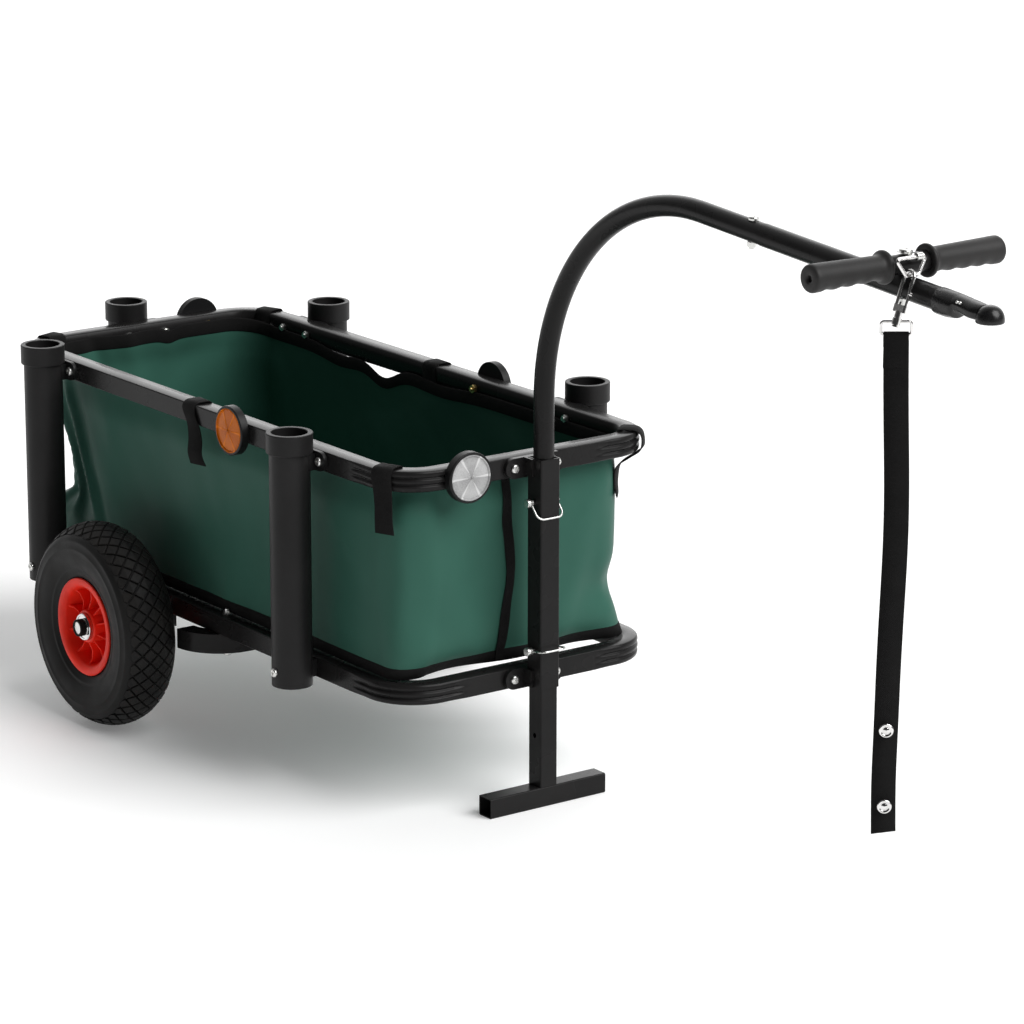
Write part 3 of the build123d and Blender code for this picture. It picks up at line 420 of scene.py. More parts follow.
paint(["column_sleeve", "column_brackets", "mast", "drawbar", "stand_leg", "stand_foot"], BLACK)
paint(["axle_brackets", "axle_spacers", "handlebar", "ring_joiners", "guard_bar"], BLACK)
paint([f"rod_pipe_{n}" for n in ("near_front", "near_rear", "far_front", "far_rear", "rear")], PLASTIC)
paint(["rod_clips", "reflector_housings"], HOUSING)
paint(["rod_bolts", "column_bolts", "guard_bolts", "joint_bolt", "handle_bolt", "wing_nut"], ZINC)
paint(["reflector_bolts"], BRASS)
paint(["lock_pin_upper", "lock_pin_lower", "lock_bow_upper", "lock_bow_lower", "ring_hanger", "axle"], ZINC)
paint(["delta_ring", "hook_body", "hook_gate", "hook_loop", "bearings_near", "bearings_far"], CHROME)
paint(["axle_caps"], BLACK_AND_HOLE_SHADE)


# ---------------------------------------------------------------- wheels
# The tread is a round arc in section: its radius and the distance of its centre from the axle, in mm.
CROWN = 49.2
CROWN_CENTRE = 82.8
TREAD_DEPTH = 3
TREAD_PITCHES = 40
TREAD_ROWS = 2
ROW_WIDTH = 10.4


def tyre_profile():
    """(radius, axial) in mm from one bead round the outside to the other."""
    half = [(58.5, 26.2), (62.4, 26.6), (64.5, 28.2), (67.5, 30.2), (70.5, 31.0), (72.0, 32.4), (74, 32.9),
            (75.8, 32.6), (77.5, 33.4), (83, 35.4), (89, 36.9), (95, 37.6), (100, 37.8), (101.2, 38.3),
            (102.8, 38.3), (104, 37.8), (107.5, 37.5), (111, 36.8), (112, 37.0), (113.4, 36.6), (116, 35.0),
            (118, 33.0), (119.2, 31.2)]
    base = CROWN - TREAD_DEPTH
    for step in range(8):
        turn = radians(36 - 36 * step / 8)
        half.append((CROWN_CENTRE + base * cos(turn), base * sin(turn)))
    return half + [(CROWN_CENTRE + base, 0)] + [(r, -z) for r, z in reversed(half)]


def tread_point(turn, w, rise):
    """The point at an angle round the tyre, w mm across the tread and rise mm over it."""
    phi = w / CROWN
    radius = CROWN_CENTRE + (CROWN + rise) * cos(phi)
    return Vector((radius * cos(turn), radius * sin(turn), (CROWN + rise) * sin(phi))) * MM


def make_tyre(name, place, body):
    """A smooth casing, and a tread of diamond blocks with half blocks at its edges."""
    profile = tyre_profile() + [(57.9, -20), (57.9, 20)]
    verts, faces = lathe(in_metres(profile + profile[:1]), 120, place)
    tyre = piece(f"tyre_{name}_side", verts, faces, TYRE, body)
    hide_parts(f"tyre_{name}")
    pitch = 2 * pi / TREAD_PITCHES
    half_w = ROW_WIDTH * 0.86
    verts = []
    faces = []
    for row in range(-TREAD_ROWS, TREAD_ROWS + 1):
        for index in range(TREAD_PITCHES):
            mid = (index + (row % 2) / 2) * pitch
            add_block(verts, faces, place, mid, row * ROW_WIDTH, pitch / 2 * 0.86, half_w)
    edge = TREAD_ROWS + 1
    for side in (-1, 1):
        for index in range(TREAD_PITCHES):
            mid = (index + (edge % 2) / 2) * pitch
            add_shoulder(verts, faces, place, mid, side, edge * ROW_WIDTH, pitch / 2 * 0.84, half_w)
    piece(f"tyre_{name}_tread", verts, faces, TREAD, body, smooth=False)


def add_block(verts, faces, place, mid, w, half_turn, half_w):
    """One diamond block: a slightly domed top on sloping flanks."""
    start = len(verts)
    corners = [(1, 0), (0, 1), (-1, 0), (0, -1)]
    for grow, rise in ((1.1, -3.2), (0.97, -0.35), (0.86, 0.0)):
        for a, b in corners:
            verts.append(place @ tread_point(mid + a * half_turn * grow, w + b * half_w * grow, rise))
    verts.append(place @ tread_point(mid, w, 0.0))
    faces.extend(grid_faces(3, 4, start=start))
    for k in range(4):
        faces.append((start + 8 + k, start + 8 + (k + 1) % 4, start + 12))


def add_shoulder(verts, faces, place, mid, side, w, half_turn, half_w):
    """Half block at the tread's edge that runs a little down the sidewall."""
    start = len(verts)
    corners = [(0.95, 0.02), (0.0, -1.0), (-0.95, 0.02), (-0.55, 0.42), (0.55, 0.42)]
    for grow, rise in ((1.08, -3.4), (0.98, -0.4), (0.88, -0.1)):
        for a, b in corners:
            across = side * (w + b * half_w * grow)
            verts.append(place @ tread_point(mid + a * half_turn * grow, across, rise))
    count = len(corners)
    faces.extend(grid_faces(3, count, start=start))
    faces.append(tuple(start + 2 * count + k for k in range(count)))


def make_rim(name, place, body):
    """Dished red rim with thin ribs round the hub on both faces."""
    store = ([], [])
    half = [(57.2, 24), (57.2, 26.8), (62.0, 27.2), (63.2, 28.2), (63.4, 29.6), (62.6, 30.8), (60.5, 31.2),
            (56.4, 30.6), (53.4, 29.4), (51.4, 27.4), (50.4, 24.5), (49.8, 10), (48.4, 4.4), (45.6, 3.2),
            (27, 3.0), (23.5, 4.6), (22.6, 9), (21.4, 25.5), (20.4, 26.6), (18.0, 26.6), (17.5, 25.8)]
    profile = half + [(r, -z) for r, z in reversed(half)]
    add_mesh(store, lathe(in_metres(profile + half[:1]), 96, place))
    ribs = 10
    for end in (-1, 1):
        for index in range(ribs):
            add_mesh(store, rib(place, 2 * pi * (index + 0.5) / ribs, end))
    rim = piece(f"rim_{name}_dish", store[0], store[1], RED, body)
    auto_smooth(rim, 38)
    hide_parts(f"rim_{name}")


def rib(place, turn, end):
    """One rib from the hub to the rim's well; end is the face that it stands on."""
    along = Vector((cos(turn), sin(turn), 0))
    side = Vector((-sin(turn), cos(turn), 0))
    verts = []
    for radius, top, thick in ((21.5, 23.0, 1.1), (34, 18.0, 0.95), (45, 19.0, 1.0), (50.4, 23.5, 1.3)):
        for s, z in ((-1, 2.5), (-1, top - 0.6), (-0.35, top), (0.35, top), (1, top - 0.6), (1, 2.5)):
            verts.append(place @ ((along * radius + side * thick * s + Vector((0, 0, end * z))) * MM))
    return verts, grid_faces(4, 6)


def make_valve(name, place, body, outward):
    """Painted shade for the valve hole: dark slabs laid on both faces of the solid web, with a stubby valve
    between two ribs.
    """
    turn = radians(-36 * outward)
    along = Vector((cos(turn), sin(turn), 0))
    side = Vector((-sin(turn), cos(turn), 0))
    store = ([], [])
    # Painted shade: two thin dark slabs over the web stand in for the shadowed valve hole.
    for z0, z1 in ((3.2, 4.2), (-4.2, -3.2)):
        verts = []
        for r, z in ((31, z0), (31, z1), (48.6, z1 + 2.4), (48.6, z0)):
            for s in (-11.0, 11.0):
                verts.append(place @ ((along * r + side * s * (r / 44) + Vector((0, 0, z))) * MM))
        faces = [(0, 1, 3, 2), (2, 3, 5, 4), (4, 5, 7, 6), (6, 7, 1, 0), (0, 2, 4, 6), (1, 7, 5, 3)]
        add_mesh(store, (verts, faces))
    piece(f"painted_valve_hole_shade_{name}", store[0], store[1], BLACK_AND_HOLE_SHADE, body, smooth=False)
    foot = place @ Matrix.Translation(along * 47 * MM)
    turned = foot @ Matrix.Rotation(turn, 4, "Z") @ Matrix.Rotation(radians(-62), 4, "Y")
    shape = [(0.1, 0), (4.0, 0.2), (3.9, 2.5), (3.0, 4.5), (2.8, 12), (2.0, 12.6), (2.1, 19), (1.4, 19.6),
             (0.1, 19.7)]
    verts, faces = lathe(in_metres(shape), 24, turned)
    piece(f"valve_stem_{name}", verts, faces, BLACK_AND_HOLE_SHADE, body)


def make_wheels():
    for name, outward in (("near", -1), ("far", 1)):
        mid = centre(f"tyre_{name}")
        place = Matrix.Translation(mid) @ Matrix.Rotation(radians(-90 * outward), 4, "X")
        body = f"wheel_{name}"
        make_tyre(name, place, body)
        make_rim(name, place, body)
        make_valve(name, place, body, outward)


# ---------------------------------------------------------------- bag
# The bag stands on the bottom ring and its edge is tucked behind the top ring's tubes.
BAG_LOW = BASE[1] + 0.0022
BAG_TOP = TOP[0] + 0.0085
BAG_INSET = 0.0275
HALF_LENGTH = (FRONT - REAR) / 2
MID_X = (FRONT + REAR) / 2
COLUMNS = 420
ROWS = 44
FLOOR_STEPS = 18


def outline(u, h):
    """Point and outward direction of the bag's wall at share u of its girth and height h."""
    long_half = HALF_LENGTH - BAG_INSET
    wide_half = SIDE - BAG_INSET
    corner = 0.034 + 0.016 * min(1.0, h * 2)
    straight_x = 2 * (long_half - corner)
    straight_y = 2 * (wide_half - corner)
    arc = corner * pi / 2
    total = 2 * (straight_x + straight_y) + 4 * arc
    s = (u % 1.0) * total
    sides = [((long_half, -wide_half + corner), (0, 1), (1, 0), straight_y),
             ((long_half - corner, wide_half), (-1, 0), (0, 1), straight_x),
             ((-long_half, wide_half - corner), (0, -1), (-1, 0), straight_y),
             ((-long_half + corner, -wide_half), (1, 0), (0, -1), straight_x)]
    for start, way, out, run in sides:
        if s <= run:
            return Vector((start[0] + way[0] * s, start[1] + way[1] * s)), Vector(out)
        s -= run
        if s <= arc:
            turn = s / corner
            hub = Vector((start[0] + way[0] * run, start[1] + way[1] * run)) - Vector(out) * corner
            ahead = Vector(out) * cos(turn) + Vector(way) * sin(turn)
            return hub + ahead * corner, ahead
        s -= arc
    return Vector((long_half, -wide_half + corner)), Vector((1, 0))


def swell(value, middle, spread):
    """A smooth bump: 1 at the middle, fading over the spread on both sides."""
    return exp(-((value - middle) / spread) ** 2)


def ease(value, low, high):
    """Smooth step from 0 at low to 1 at high; low may be the larger one."""
    share = max(0.0, min(1.0, (value - low) / (high - low)))
    return share * share * (3 - 2 * share)


# The bag's folds, in metres outward. x is measured from the frame's front end, y across and h up the wall.
def crumples(x, y, h):
    """All-over unevenness of slack fabric: broad, medium and small waves, and ridges."""
    broad = 0.5 + 0.9 * noise.noise(Vector((x * 4, y * 4, 3.1)))
    medium = noise.noise(Vector((x * 7.5, y * 7.5, h * 0.9)))
    small = noise.noise(Vector((x * 24 + h * 2.4, y * 24 - h * 1.7, h * 2.6 + 5.0)))
    ridge = abs(noise.noise(Vector((x * 6 + h * 1.3, y * 9 - h * 0.9, h * 1.3 + 9.0))))
    return 0.0046 * medium - 0.0040 * broad + 0.0014 * small + 0.0052 * (0.22 - ridge)


def front_folds(y, h, loose):
    """Foot tucked in on both sides of the column, a puff over each tuck and three leaning folds."""
    tuck = 0.019 * swell(y, -0.092, 0.062) + 0.018 * swell(y, 0.088, 0.062)
    puff = swell(y, -0.138, 0.022) + 0.8 * swell(y, 0.13, 0.03)
    valley = swell(y + 0.10 * h, -0.012, 0.034)
    leaning = 0.0034 * swell(y + 0.10 * h, -0.065, 0.030) + 0.0026 * swell(y - 0.08 * h, 0.052, 0.022)
    at_foot = 0.0040 * puff * swell(h, 0.15, 0.09) - tuck * swell(h, -0.02, 0.085)
    return at_foot + (leaning - 0.0050 * valley) * loose


def near_folds(x, h, loose):
    """Three slanting folds beside the near rear holder, each a ridge with a hollow ahead of it."""
    push = 0.0
    for place, lean, depth in ((-0.868, 0.050, 0.0052), (-0.838, 0.095, 0.0062), (-0.795, 0.12, 0.0046)):
        middle = place + lean * (0.8 - h)
        push += depth * swell(x, middle, 0.0085) * ease(h, 0.1, 0.35)
        push -= depth * 0.7 * swell(x, middle + 0.02, 0.012)
    return push * loose


def rear_folds(y, h):
    """A leaning ridge and hollow, and the wall drawn in behind the rear tube."""
    crease = swell(y, -0.02 - 0.07 * h, 0.013) - swell(y, 0.02 - 0.06 * h, 0.02)
    return 0.006 * crease * h - 0.0045 * ease(h, 0.82, 0.95)


def front_corners(x, y, h, below_tube):
    """The far corner caves in above its foot; the near one has a sharp upright fold."""
    far = swell(x, -0.040, 0.045) * swell(y, 0.150, 0.045)
    near = swell(x, -0.046, 0.010) * swell(y, -0.154, 0.016)
    cave = 0.0125 * swell(h, 0.26, 0.115) - 0.008 * swell(h, 0.0, 0.085) + 0.004 * below_tube
    return 0.0050 * near * below_tube - far * cave


def hem_droop(x, y, near, far, rear):
    """Metres that the edge hangs down between its ties; at the rear it is drawn up."""
    droop = near * (0.003 * swell(x, -0.25, 0.08) + 0.003 * swell(x, -0.62, 0.09))
    for place, spread, depth in ((-0.556, 0.038, 0.021), (-0.655, 0.050, 0.0095), (-0.425, 0.060, 0.0065)):
        droop += far * depth * swell(x, place, spread)
    return droop - rear * 0.0085 * (1 - 0.6 * swell(y, 0.030, 0.013))


def wall(u, h, off=0.0):
    """A point of the sagging wall at share u of its girth and height h, off metres outside it."""
    rise = max(0.0, h)
    h = min(1.0, rise)
    flat, out = outline(u, h)
    x = flat.x + MID_X - FRONT
    y = flat.y
    front = max(0.0, out.x)
    rear = max(0.0, -out.x)
    far = max(0.0, out.y)
    near = max(0.0, -out.y)
    below_tube = 1 - ease(h, 0.78, 0.98)
    loose = below_tube * ease(h, 0.0, 0.06)
    bulge = near * 0.0115 + front * 0.0070 + far * 0.0020 + rear * 0.0030
    at_foot = 0.62 + 0.32 * near
    push = bulge * below_tube * (at_foot + (1 - at_foot) * ease(h, 0.0, 0.25))
    push += loose * crumples(x, y, h) + front_corners(x, y, h, below_tube)
    push += front * front_folds(y, h, loose) + near * near_folds(x, h, loose) + rear * rear_folds(y, h)
    # The near rear corner is drawn in, clear of the rod holder beside it.
    pulled = ease(h, 0.16, 0.30) * max(0.0, min(1.0, (0.98 - h) / 0.62))
    inset = 0.031 * pulled * swell(hypot(x + 0.868, y + 0.150), 0.0, 0.085)
    point = flat + out * (push + off)
    z = BAG_LOW + (BAG_TOP - BAG_LOW) * rise - hem_droop(x, y, near, far, rear) * h ** 2.2
    return Vector((point.x + MID_X + inset, point.y + inset, z))


def make_bag():
    """The wall and, inside its foot, a floor of shrinking loops that end on a line."""
    rows = []
    for row in range(ROWS + 1):
        h = row / ROWS
        rows.append([wall(column / COLUMNS, h) for column in range(COLUMNS)])
    floor_rows = []
    spine_half = HALF_LENGTH - 0.175
    for step in range(1, FLOOR_STEPS + 1):
        share = 1 - step / FLOOR_STEPS
        line = []
        for edge in rows[0]:
            spine = max(-spine_half, min(spine_half, edge.x - MID_X)) + MID_X
            x = spine + (edge.x - spine) * share
            y = edge.y * share
            z = edge.z + 0.0016 * noise.noise(Vector((x * 9, y * 9, 1.0))) * (1 - share)
            line.append(Vector((x, y, z)))
        floor_rows.append(line)
    stack = list(reversed(floor_rows)) + rows
    verts = [point for line in stack for point in line]
    bag = piece("bag_shell", verts, grid_faces(len(stack), COLUMNS), GREEN, None)
    skin = bag.modifiers.new("skin", "SOLIDIFY")
    skin.thickness = 0.0011
    skin.offset = 0
    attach(bag, "frame")
    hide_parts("bag")
    hems = [make_hem("bag_hem_top", 0.935, 1.006, 0.0014), make_hem("bag_hem_bottom", -0.004, 0.058, 0.0014)]


def make_hem(name, low, high, off):
    """Binding folded over the bag's edge: an outer and an inner lip joined at the edge."""
    verts = []
    outside = [(low, off * 0.7), (low + 0.004, off), (high - 0.006, off), (high, off * 0.3)]
    section = outside + [(h, -shift) for h, shift in reversed(outside)]
    for h, shift in section:
        for column in range(COLUMNS):
            verts.append(wall(column / COLUMNS, h, shift))
    faces = grid_faces(len(section), COLUMNS)
    last = (len(section) - 1) * COLUMNS
    for column in range(COLUMNS):
        after = (column + 1) % COLUMNS
        faces.append((last + column, last + after, after, column))
    return piece(name, verts, faces, BINDING, "frame")


def nearest_share(x, y):
    """The share of the girth whose wall point, a little over half-way up, is nearest to (x, y)."""
    points = [wall(column / COLUMNS, 0.6) for column in range(COLUMNS)]
    best = min(range(COLUMNS), key=lambda column: hypot(points[column].x - x, points[column].y - y))
    return best / COLUMNS


def make_band():
    """Narrow tape that runs down the front wall and wanders a little."""
    share = nearest_share(FRONT, centre("bag_band").y)
    points = []
    across = []
    steps = 39
    for step in range(steps + 1):
        h = 0.955 - 0.945 * step / steps
        drift = 0.002 + 0.0052 * swell(h, 0.40, 0.16) - 0.0020 * swell(h, 0.70, 0.10) + 0.010 * (1 - h) ** 2
        twist = 0.95 * swell(h, 0.64, 0.10) + 0.35 * swell(h, 0.2, 0.1)
        point = wall(share, h, 0.0032 + 0.0035 * twist)
        point.y += drift
        points.append(point)
        across.append(Vector((twist, 1, 0)))
    band = ribbon("bag_tape", points, across, 0.0120, 0.0012, WEB, "frame")
    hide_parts("bag_band")


def tie(name, hub, out, along, tail, curl, under=0.0, skew=0.0, twist=0.0):
    """Webbing loop round the top tube: hub is on the tube's outer face at mid-height.

    The tail hangs outside, or slants back below the tube where under says how far in.
    """
    gap = 0.0016
    half = TUBE / 2
    top = half + gap
    inner = -(TUBE + gap)
    wrap = [(inner + 0.001, -half - 0.006), (inner, -half * 0.2), (inner + 0.0006, half * 0.7),
            (inner + 0.004, top), (-TUBE * 0.5, top + 0.0008), (-0.003, top)]
    if under:
        wrap += [(0.0035, half * 0.75), (0.0055, 0), (0.0035, -half * 0.85), (-0.008, -half - 0.007),
                 (-under, -half - 0.020), (-under - 0.003, -half - tail * 0.7),
                 (-under - 0.001, -half - tail)]
    else:
        wrap += [(gap, half * 0.7), (gap + 0.0008, 0), (gap + 0.0002, -half),
                 (gap + curl * 0.35, -half - tail * 0.35), (gap + curl, -half - tail * 0.7),
                 (gap + curl * 0.8, -half - tail)]
    points = smooth_path([hub + out * a + UP * b for a, b in wrap], 5)
    count = len(points)
    across = []
    for index, point in enumerate(points):
        point += along * skew * ease(index, count * 0.55, count)
        turned = twist * ease(index, count * 0.62, count * 0.85)
        across.append(along + out * (0.14 * sin(index * 0.17) * (index / count) - turned))
    return ribbon(name, points, across, 0.0270, 0.0015, WEB, "frame")


def make_ties():
    """One tie in the middle of each side and one near each corner of the top ring."""
    z = (TOP[0] + TOP[1]) / 2
    for name, x, side, curl, skew, twist in (("near", -0.456, -1, 0.010, 0.035, 0.28),
                                             ("far", -0.454, 1, 0.004, 0.008, 0.0)):
        hub = Vector((FRONT + x, side * SIDE, z))
        along = Vector((1, 0.04 * side, 0))
        tie(f"tie_{name}", hub, Vector((0, side, 0)), along, 0.045, curl, 0.0, skew, twist)
    corners = (("near_front", 1, -1, -68, 0.051, 0.003, 0.0, 0.006),
               ("far_front", 1, 1, 44, 0.058, 0.0, 0.0245, 0.0),
               ("rear_near", -1, -1, -164, 0.05, 0.003, 0.0, 0.0),
               ("rear_far", -1, 1, 108, 0.045, 0.003, 0.0, 0.0))
    for name, end, side, angle, tail, curl, under, skew in corners:
        x = FRONT - BEND if end > 0 else REAR + BEND
        out = Vector((cos(radians(angle)), sin(radians(angle)), 0))
        along = Vector((-out.y, out.x, 0))
        hub = Vector((x, side * (SIDE - BEND), z)) + out * (BEND - 0.0005)
        tie(f"tie_{name}", hub, out, along, tail, curl, under, skew)
    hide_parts("bag_ties")


# ---------------------------------------------------------------- reflectors
def make_reflectors():
    """Round lenses with a raised rim and six thin spokes."""
    rings = [(1.0, 0.0), (1.0, 0.72), (0.985, 0.86), (0.95, 0.92), (0.92, 0.78), (0.91, 0.62), (0.6, 0.70),
             (0.3, 0.78), (0.0, 0.86)]
    steps = 72
    lenses = (("near", AMBER, "lens_amber", (0, -1, 0)), ("far", AMBER, "lens_amber", (0, 1, 0)),
              ("front", CLEAR, "lens_clear", (1, 0, 0)), ("rear", REDLENS, "lens_red", (-1, 0, 0)))
    for name, mat, slot, out in lenses:
        node = f"reflector_lens_{name}"
        low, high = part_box(node)
        size = Vector(high) - Vector(low)
        radius = max(size) / 2
        deep = min(size)
        verts = []
        for share, height in rings:
            for step in range(steps):
                a = 2 * pi * step / steps
                sixth = (a * 3 / pi) % 1.0
                spoke = 0.10 * max(0.0, 1 - min(sixth, 1 - sixth) * 14) if share < 0.9 else 0.0
                reach = share * radius
                verts.append(Vector((reach * cos(a), reach * sin(a), (height + spoke - 0.5) * deep)))
        lens = piece(f"lens_{name}", verts, grid_faces(len(rings), steps), mat, None)
        auto_smooth(lens, 40)
        turn = Vector(out).to_track_quat("Z", "Y").to_matrix().to_4x4()
        lens.matrix_world = Matrix.Translation(centre(node)) @ turn
        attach(lens, "frame")
        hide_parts(node)


# ---------------------------------------------------------------- grips and coupler
def make_grip(name, side):
    """Tapered rubber grip: rolled inner flange, finger waves underneath, dimpled end."""
    low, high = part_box(f"grip_{name}")
    mid = centre(f"grip_{name}")
    inner = low[1] if side > 0 else high[1]
    length = (high[1] - low[1]) / MM
    flange = 18.5
    mid.z = high[2] - flange * MM
    rows = [(11.2, 0.3), (16.6, 0.0), (18.0, 0.9), (18.4, 2.4), (18.0, 4.4), (16.6, 5.9), (14.9, 7.4),
            (14.0, 9.6), (13.7, 12)]
    y = 14
    while y < length - 6:
        rows.append((13.7 + 1.7 * (y - 12) / (length - 18), y))
        y += 2
    rows += [(15.4, length - 5), (15.2, length - 2.8), (14.2, length - 1.0), (12.6, length - 0.1),
             (6.4, length), (4.8, length - 0.3), (3.6, length - 1.6), (3.1, length - 5), (0.05, length - 5.4)]
    steps = 64
    verts = []
    for radius, y in rows:
        for step in range(steps):
            a = 2 * pi * step / steps
            under = max(0.0, -sin(a)) ** 1.4
            wave = 0.0
            if 10 < y < length - 5 and radius > 13:
                wave = -1.5 * (0.5 - 0.5 * cos(2 * pi * (y - 10) / 21)) * under
            r = (radius + wave) * MM
            verts.append(Vector((mid.x + r * cos(a), inner + side * y * MM, mid.z + r * sin(a))))
    grip = piece(f"grip_{name}_skin", verts, grid_faces(len(rows), steps), RUBBER, "frame")
    auto_smooth(grip, 50)
    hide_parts(f"grip_{name}")


def make_coupler():
    """Moulded nose: a sleeve cut away below, a neck, and a domed cup with a flat mouth."""
    low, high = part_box("coupler_cup")
    nose = Vector(((low[0] + high[0]) / 2, 0, low[2]))
    make_neck(nose)
    make_dome(nose, (high[0] - low[0]) / 2 / MM, (high[2] - low[2]) / MM)
    rivets = ([], [])
    head = in_metres([(1.6, -1.0), (1.6, 0.4), (1.1, 0.9), (0.02, 1.1)])
    for run in (-38.0, -33.5):
        place = Matrix.Translation(nose + Vector((run, -12.0, 16.5)) * MM)
        add_mesh(rivets, lathe(head, 20, place @ Matrix.Rotation(radians(72), 4, "X")))
    piece("coupler_rivets", rivets[0], rivets[1], ZINC, "frame")


def make_neck(nose):
    """Loft from the sleeve's back end into the dome: (run, top, bottom, half width) in mm from the nose."""
    stations = ((-76.5, 23.0, -3.0, 12.6), (-76.0, 24.2, -4.4, 13.9), (-74, 24.5, -4.7, 14.5),
                (-62, 23.6, -5.4, 14.5), (-52, 22.7, -4.6, 14.4), (-48.5, 22.3, -4.0, 14.2),
                (-47.2, 22.1, -2.0, 13.8), (-46.2, 21.9, 1.8, 13.3), (-44, 21.6, 3.8, 13.0),
                (-38, 20.9, 3.4, 12.7), (-32, 20.2, 1.8, 12.7), (-27, 19.6, 0.6, 13.0),
                (-22, 19.0, 0.0, 13.3), (-17, 18.4, 0.0, 13.2), (-12, 17.8, 0.0, 12.4), (-9, 17.3, 0.2, 11.0))
    steps = 48
    verts = []
    for run, top, bottom, wide in stations:
        middle = (top + bottom) / 2
        tall = (top - bottom) / 2
        for step in range(steps):
            a = 2 * pi * step / steps
            square = 1.0 - 0.12 * abs(sin(2 * a)) ** 3
            y = wide * cos(a) / (square if sin(a) < 0 else 1.0)
            verts.append(nose + Vector((run, y, middle + tall * sin(a))) * MM)
    verts.append(nose + Vector((stations[0][0], 0, 10)) * MM)
    faces = grid_faces(len(stations), steps)
    back = len(verts) - 1
    faces += [(back, step, (step + 1) % steps) for step in range(steps)]
    faces.append(tuple(back - steps + step for step in range(steps)))
    neck = piece("coupler_neck", verts, faces, NOSE, "frame")
    auto_smooth(neck, 42)
    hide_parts("coupler_body")


def make_dome(nose, radius, height):
    """Hollow cup, in mm: a rounded crown a little under the CAD cup's top, open below."""
    crown = height - 3.4
    lip = 2.2
    inner = [(0.05, crown - 3.2), (5, crown - 3.8), (8.8, crown - 7.5), (10.6, crown - 13), (11.2, 1.2),
             (11.9, 0.2)]
    outer = [(radius - 0.9, 0.0), (radius - 0.2, 0.7), (radius, lip)]
    for step in range(14):
        turn = radians(6 + 6 * step)
        outer.append((radius * cos(turn) ** 0.82, lip + (crown - lip) * sin(turn)))
    outer.append((0.05, crown))
    verts, faces = lathe(in_metres(inner + outer), 64, Matrix.Translation(nose))
    dome = piece("coupler_dome", verts, faces, NOSE, "frame")
    auto_smooth(dome, 50)
    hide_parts("coupler_cup")


# ---------------------------------------------------------------- rings
def ring_section(ridged):
    """Outward and upward offsets (mm) of the square tube; ridged is 1 inside a corner bend."""
    half = TUBE / MM / 2
    radius = 1.6
    fall = 1.6
    flat = half - radius
    edge = flat - ridged * fall
    points = []
    for step in range(25):
        z = -flat + 2 * flat * step / 24
        groove = swell(z, 4.1, 1.5) + swell(z, -4.1, 1.5)
        points.append((half - ridged * (3.0 * groove + fall * (z / half) ** 4), z))
    for step in range(1, 5):
        turn = radians(90 * step / 5)
        points.append((edge + radius * cos(turn), flat + radius * sin(turn)))
    points += [(0.0, half), (-flat, half), (-half, flat), (-half, -flat), (-flat, -half), (0.0, -half)]
    for step in range(1, 5):
        turn = radians(-90 + 90 * step / 5)
        points.append((edge + radius * cos(turn), -flat + radius * sin(turn)))
    return points


RIDGE_FADE = (0.040, 0.008)


def ring_path(start, end, sign):
    """Points, outward directions and ridge weights along one bent half of a ring."""
    corner = BEND - TUBE / 2
    wide = SIDE - TUBE / 2
    tip = end - sign * TUBE / 2
    turn_x = tip - sign * corner
    stations = []
    for step in range(8):
        x = start + (turn_x - sign * 0.06 - start) * step / 7
        stations.append((Vector((x, -wide, 0)), Vector((0, -1, 0)), 0.0))
    fade = [0.0025 * step for step in range(1, 17)]
    for run in reversed(fade):
        point = Vector((turn_x - sign * run, -wide, 0))
        stations.append((point, Vector((0, -1, 0)), ease(run, *RIDGE_FADE)))
    for step in range(25):
        turn = radians(90 * step / 24)
        out = Vector((sign * sin(turn), -cos(turn), 0))
        stations.append((Vector((turn_x, -wide + corner, 0)) + out * corner, out, 1.0))
    for run in fade:
        point = Vector((tip, -wide + corner + run, 0))
        stations.append((point, Vector((sign, 0, 0)), ease(run, *RIDGE_FADE)))
    stations.append((Vector((tip, 0, 0)), Vector((sign, 0, 0)), 0.0))
    for point, out, ridged in list(reversed(stations))[1:]:
        stations.append((Vector((point.x, -point.y, 0)), Vector((out.x, -out.y, 0)), ridged))
    return stations


def make_rings():
    """Both rings' bent halves, drawn again with the grooves that their corners were pressed with."""
    for node in ("top_ring_front", "top_ring_rear", "bottom_ring_front", "bottom_ring_rear"):
        low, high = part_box(node)
        sign = 1 if node.endswith("front") else -1
        start, end = (low[0], high[0]) if sign > 0 else (high[0], low[0])
        z = (low[2] + high[2]) / 2
        verts = []
        path = ring_path(start, end, sign)
        for point, out, ridged in path:
            for o, rise in ring_section(ridged):
                verts.append(point + out * o * MM + UP * (z + rise * MM))
        count = len(ring_section(0))
        faces = grid_faces(len(path), count)
        last = (len(path) - 1) * count
        faces.append(tuple(range(count))[::-1])
        faces.append(tuple(last + index for index in range(count)))
        ring = piece(f"tube_{node}", verts, faces, BLACK, "frame")
        auto_smooth(ring, 75)
        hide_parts(node)


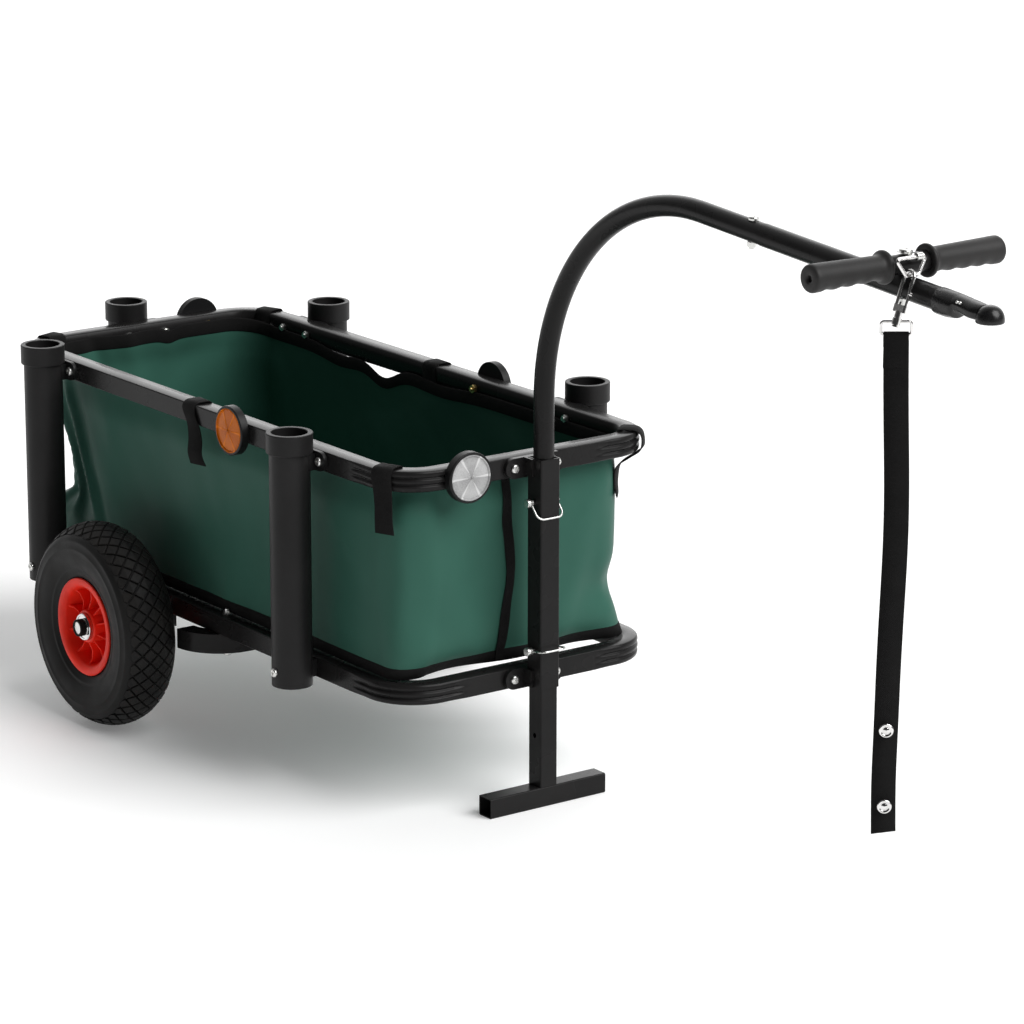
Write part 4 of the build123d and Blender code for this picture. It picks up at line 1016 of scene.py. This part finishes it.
# ---------------------------------------------------------------- strap
def make_strap():
    """Hanging webbing that sways a little, its end cut askew, and the fold round the loop's bar."""
    low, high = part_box("strap")
    mid = centre("strap")
    heading = radians(54)
    side = Vector((cos(heading), sin(heading), 0))
    out = Vector((sin(heading), -cos(heading), 0))
    top = high[2] - 0.0036
    start = top - 0.0065
    bottom = low[2] + 0.0005
    points = []
    across = []
    steps = 90
    for step in range(steps + 1):
        share = step / steps
        z = start + (bottom - start) * share
        sway = 0.0024 * sin(share * 5.2 + 0.4) * share ** 0.5 + 0.0012 * sin(share * 13.0)
        slip = 0.0050 * swell(share, 0.36, 0.22) - 0.0012 * swell(share, 0.9, 0.1)
        points.append(Vector((mid.x, mid.y, z)) + out * sway + side * slip)
        across.append(side + out * 0.10 * sin(share * 6.0))
    strap = ribbon("lead_strap", points, across, 0.0268, 0.0018, WEB, "strap")
    for vertex in strap.data.vertices:
        if vertex.co.z < bottom + 0.004:
            vertex.co.z += 0.0035 * (0.5 + (vertex.co - mid).dot(side) / 0.03)
    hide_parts("strap")
    bar = Vector((mid.x, mid.y, top - 0.0002))
    fold = []
    for step in range(10, -1, -1):
        t = step / 10
        fold.append(bar + out * (0.0026 - 0.0008 * t) - UP * (0.0012 + 0.034 * t))
    for step in range(25):
        a = radians(-20 + 220 * step / 24)
        fold.append(bar + out * 0.0028 * cos(a) + UP * 0.0028 * sin(a))
    for step in range(7):
        t = step / 6
        fold.append(bar - out * (0.0026 - 0.0022 * t) - UP * (0.0012 + 0.012 * t))
    eye = ribbon("lead_fold", fold, [side] * len(fold), 0.0266, 0.0016, WEB, "strap")
    make_studs(out)


def make_studs(out):
    """Two pressed snap studs: a rolled rim, a sunken ring and a small dome on each."""
    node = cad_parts["strap_studs"]
    heights = sorted({round((node.matrix_world @ v.co).z, 4) for v in node.data.vertices})
    gap = max(range(1, len(heights)), key=lambda index: heights[index] - heights[index - 1])
    middle = centre("strap_studs")
    turn = out.to_track_quat("Z", "Y").to_matrix().to_4x4()
    shape = [(2.0, -2.6), (6.4, -2.6), (6.6, -1.6), (6.4, -0.9), (2.0, -0.9), (2.0, 0.9), (7.4, 0.9),
             (7.9, 1.5), (7.8, 2.4), (7.0, 3.0), (5.9, 2.9), (5.0, 2.0), (4.2, 1.7), (3.4, 2.1), (2.2, 2.9),
             (0.02, 3.1)]
    made = []
    for group in (heights[:gap], heights[gap:]):
        z = (group[0] + group[-1]) / 2
        verts, faces = lathe(in_metres(shape), 40, Matrix.Translation((middle.x, middle.y, z)) @ turn)
        stud = piece(f"stud_{len(made)}", verts, faces, CHROME, "strap")
        auto_smooth(stud, 60)
        made.append(stud)
    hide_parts("strap_studs")


# ---------------------------------------------------------------- stage
def make_stage():
    """A large pale floor, the surround and one very soft sun from the left."""
    size = 16
    corners = [(-size, -size, 0), (size, -size, 0), (size, size, 0), (-size, size, 0)]
    mesh = bpy.data.meshes.new("floor")
    mesh.from_pydata(corners, [], [(0, 1, 2, 3)])
    floor = bpy.data.objects.new("floor", mesh)
    scene.collection.objects.link(floor)
    mat, _, shader = new_material("studio_floor")
    shader.inputs["Base Color"].default_value = (0.9, 0.9, 0.9, 1)
    shader.inputs["Emission Color"].default_value = (1, 1, 1, 1)
    shader.inputs["Emission Strength"].default_value = 0.16
    shader.inputs["Roughness"].default_value = 0.9
    shader.inputs["Specular IOR Level"].default_value = 0.1
    mesh.materials.append(mat)
    make_world()
    data = bpy.data.lights.new("softbox", "SUN")
    data.energy = 3.6
    data.angle = radians(50)
    light = bpy.data.objects.new("softbox", data)
    way = Vector((-0.67, -0.30, -0.70))
    light.matrix_world = way.to_track_quat("-Z", "Y").to_matrix().to_4x4()
    scene.collection.objects.link(light)
    scene.view_settings.view_transform = "Standard"


def make_world():
    """Studio surround: bright behind the cart, dim on the side the camera stands on."""
    world = bpy.data.worlds.new("studio")
    world.use_nodes = True
    tree = world.node_tree
    backdrop = tree.nodes["Background"]
    coords = tree.nodes.new("ShaderNodeTexCoord")
    facing = tree.nodes.new("ShaderNodeVectorMath")
    facing.operation = "DOT_PRODUCT"
    facing.inputs[1].default_value = (-0.72, 0.60, 0.34)
    tree.links.new(coords.outputs["Generated"], facing.inputs[0])
    levels = ((0.0, 0.05), (0.25, 0.15), (0.62, 0.65), (0.86, 0.95), (0.955, 2.4))
    level = ramp(tree, facing.outputs["Value"], [(place, (value, value, value)) for place, value in levels])
    tree.links.new(level.outputs["Color"], backdrop.inputs["Color"])
    backdrop.inputs["Strength"].default_value = 1.0
    scene.world = world


make_camera()
make_rings()
make_wheels()
make_bag()
make_band()
make_ties()
make_reflectors()
make_grip("near", -1)
make_grip("far", 1)
make_coupler()
make_strap()
make_stage()
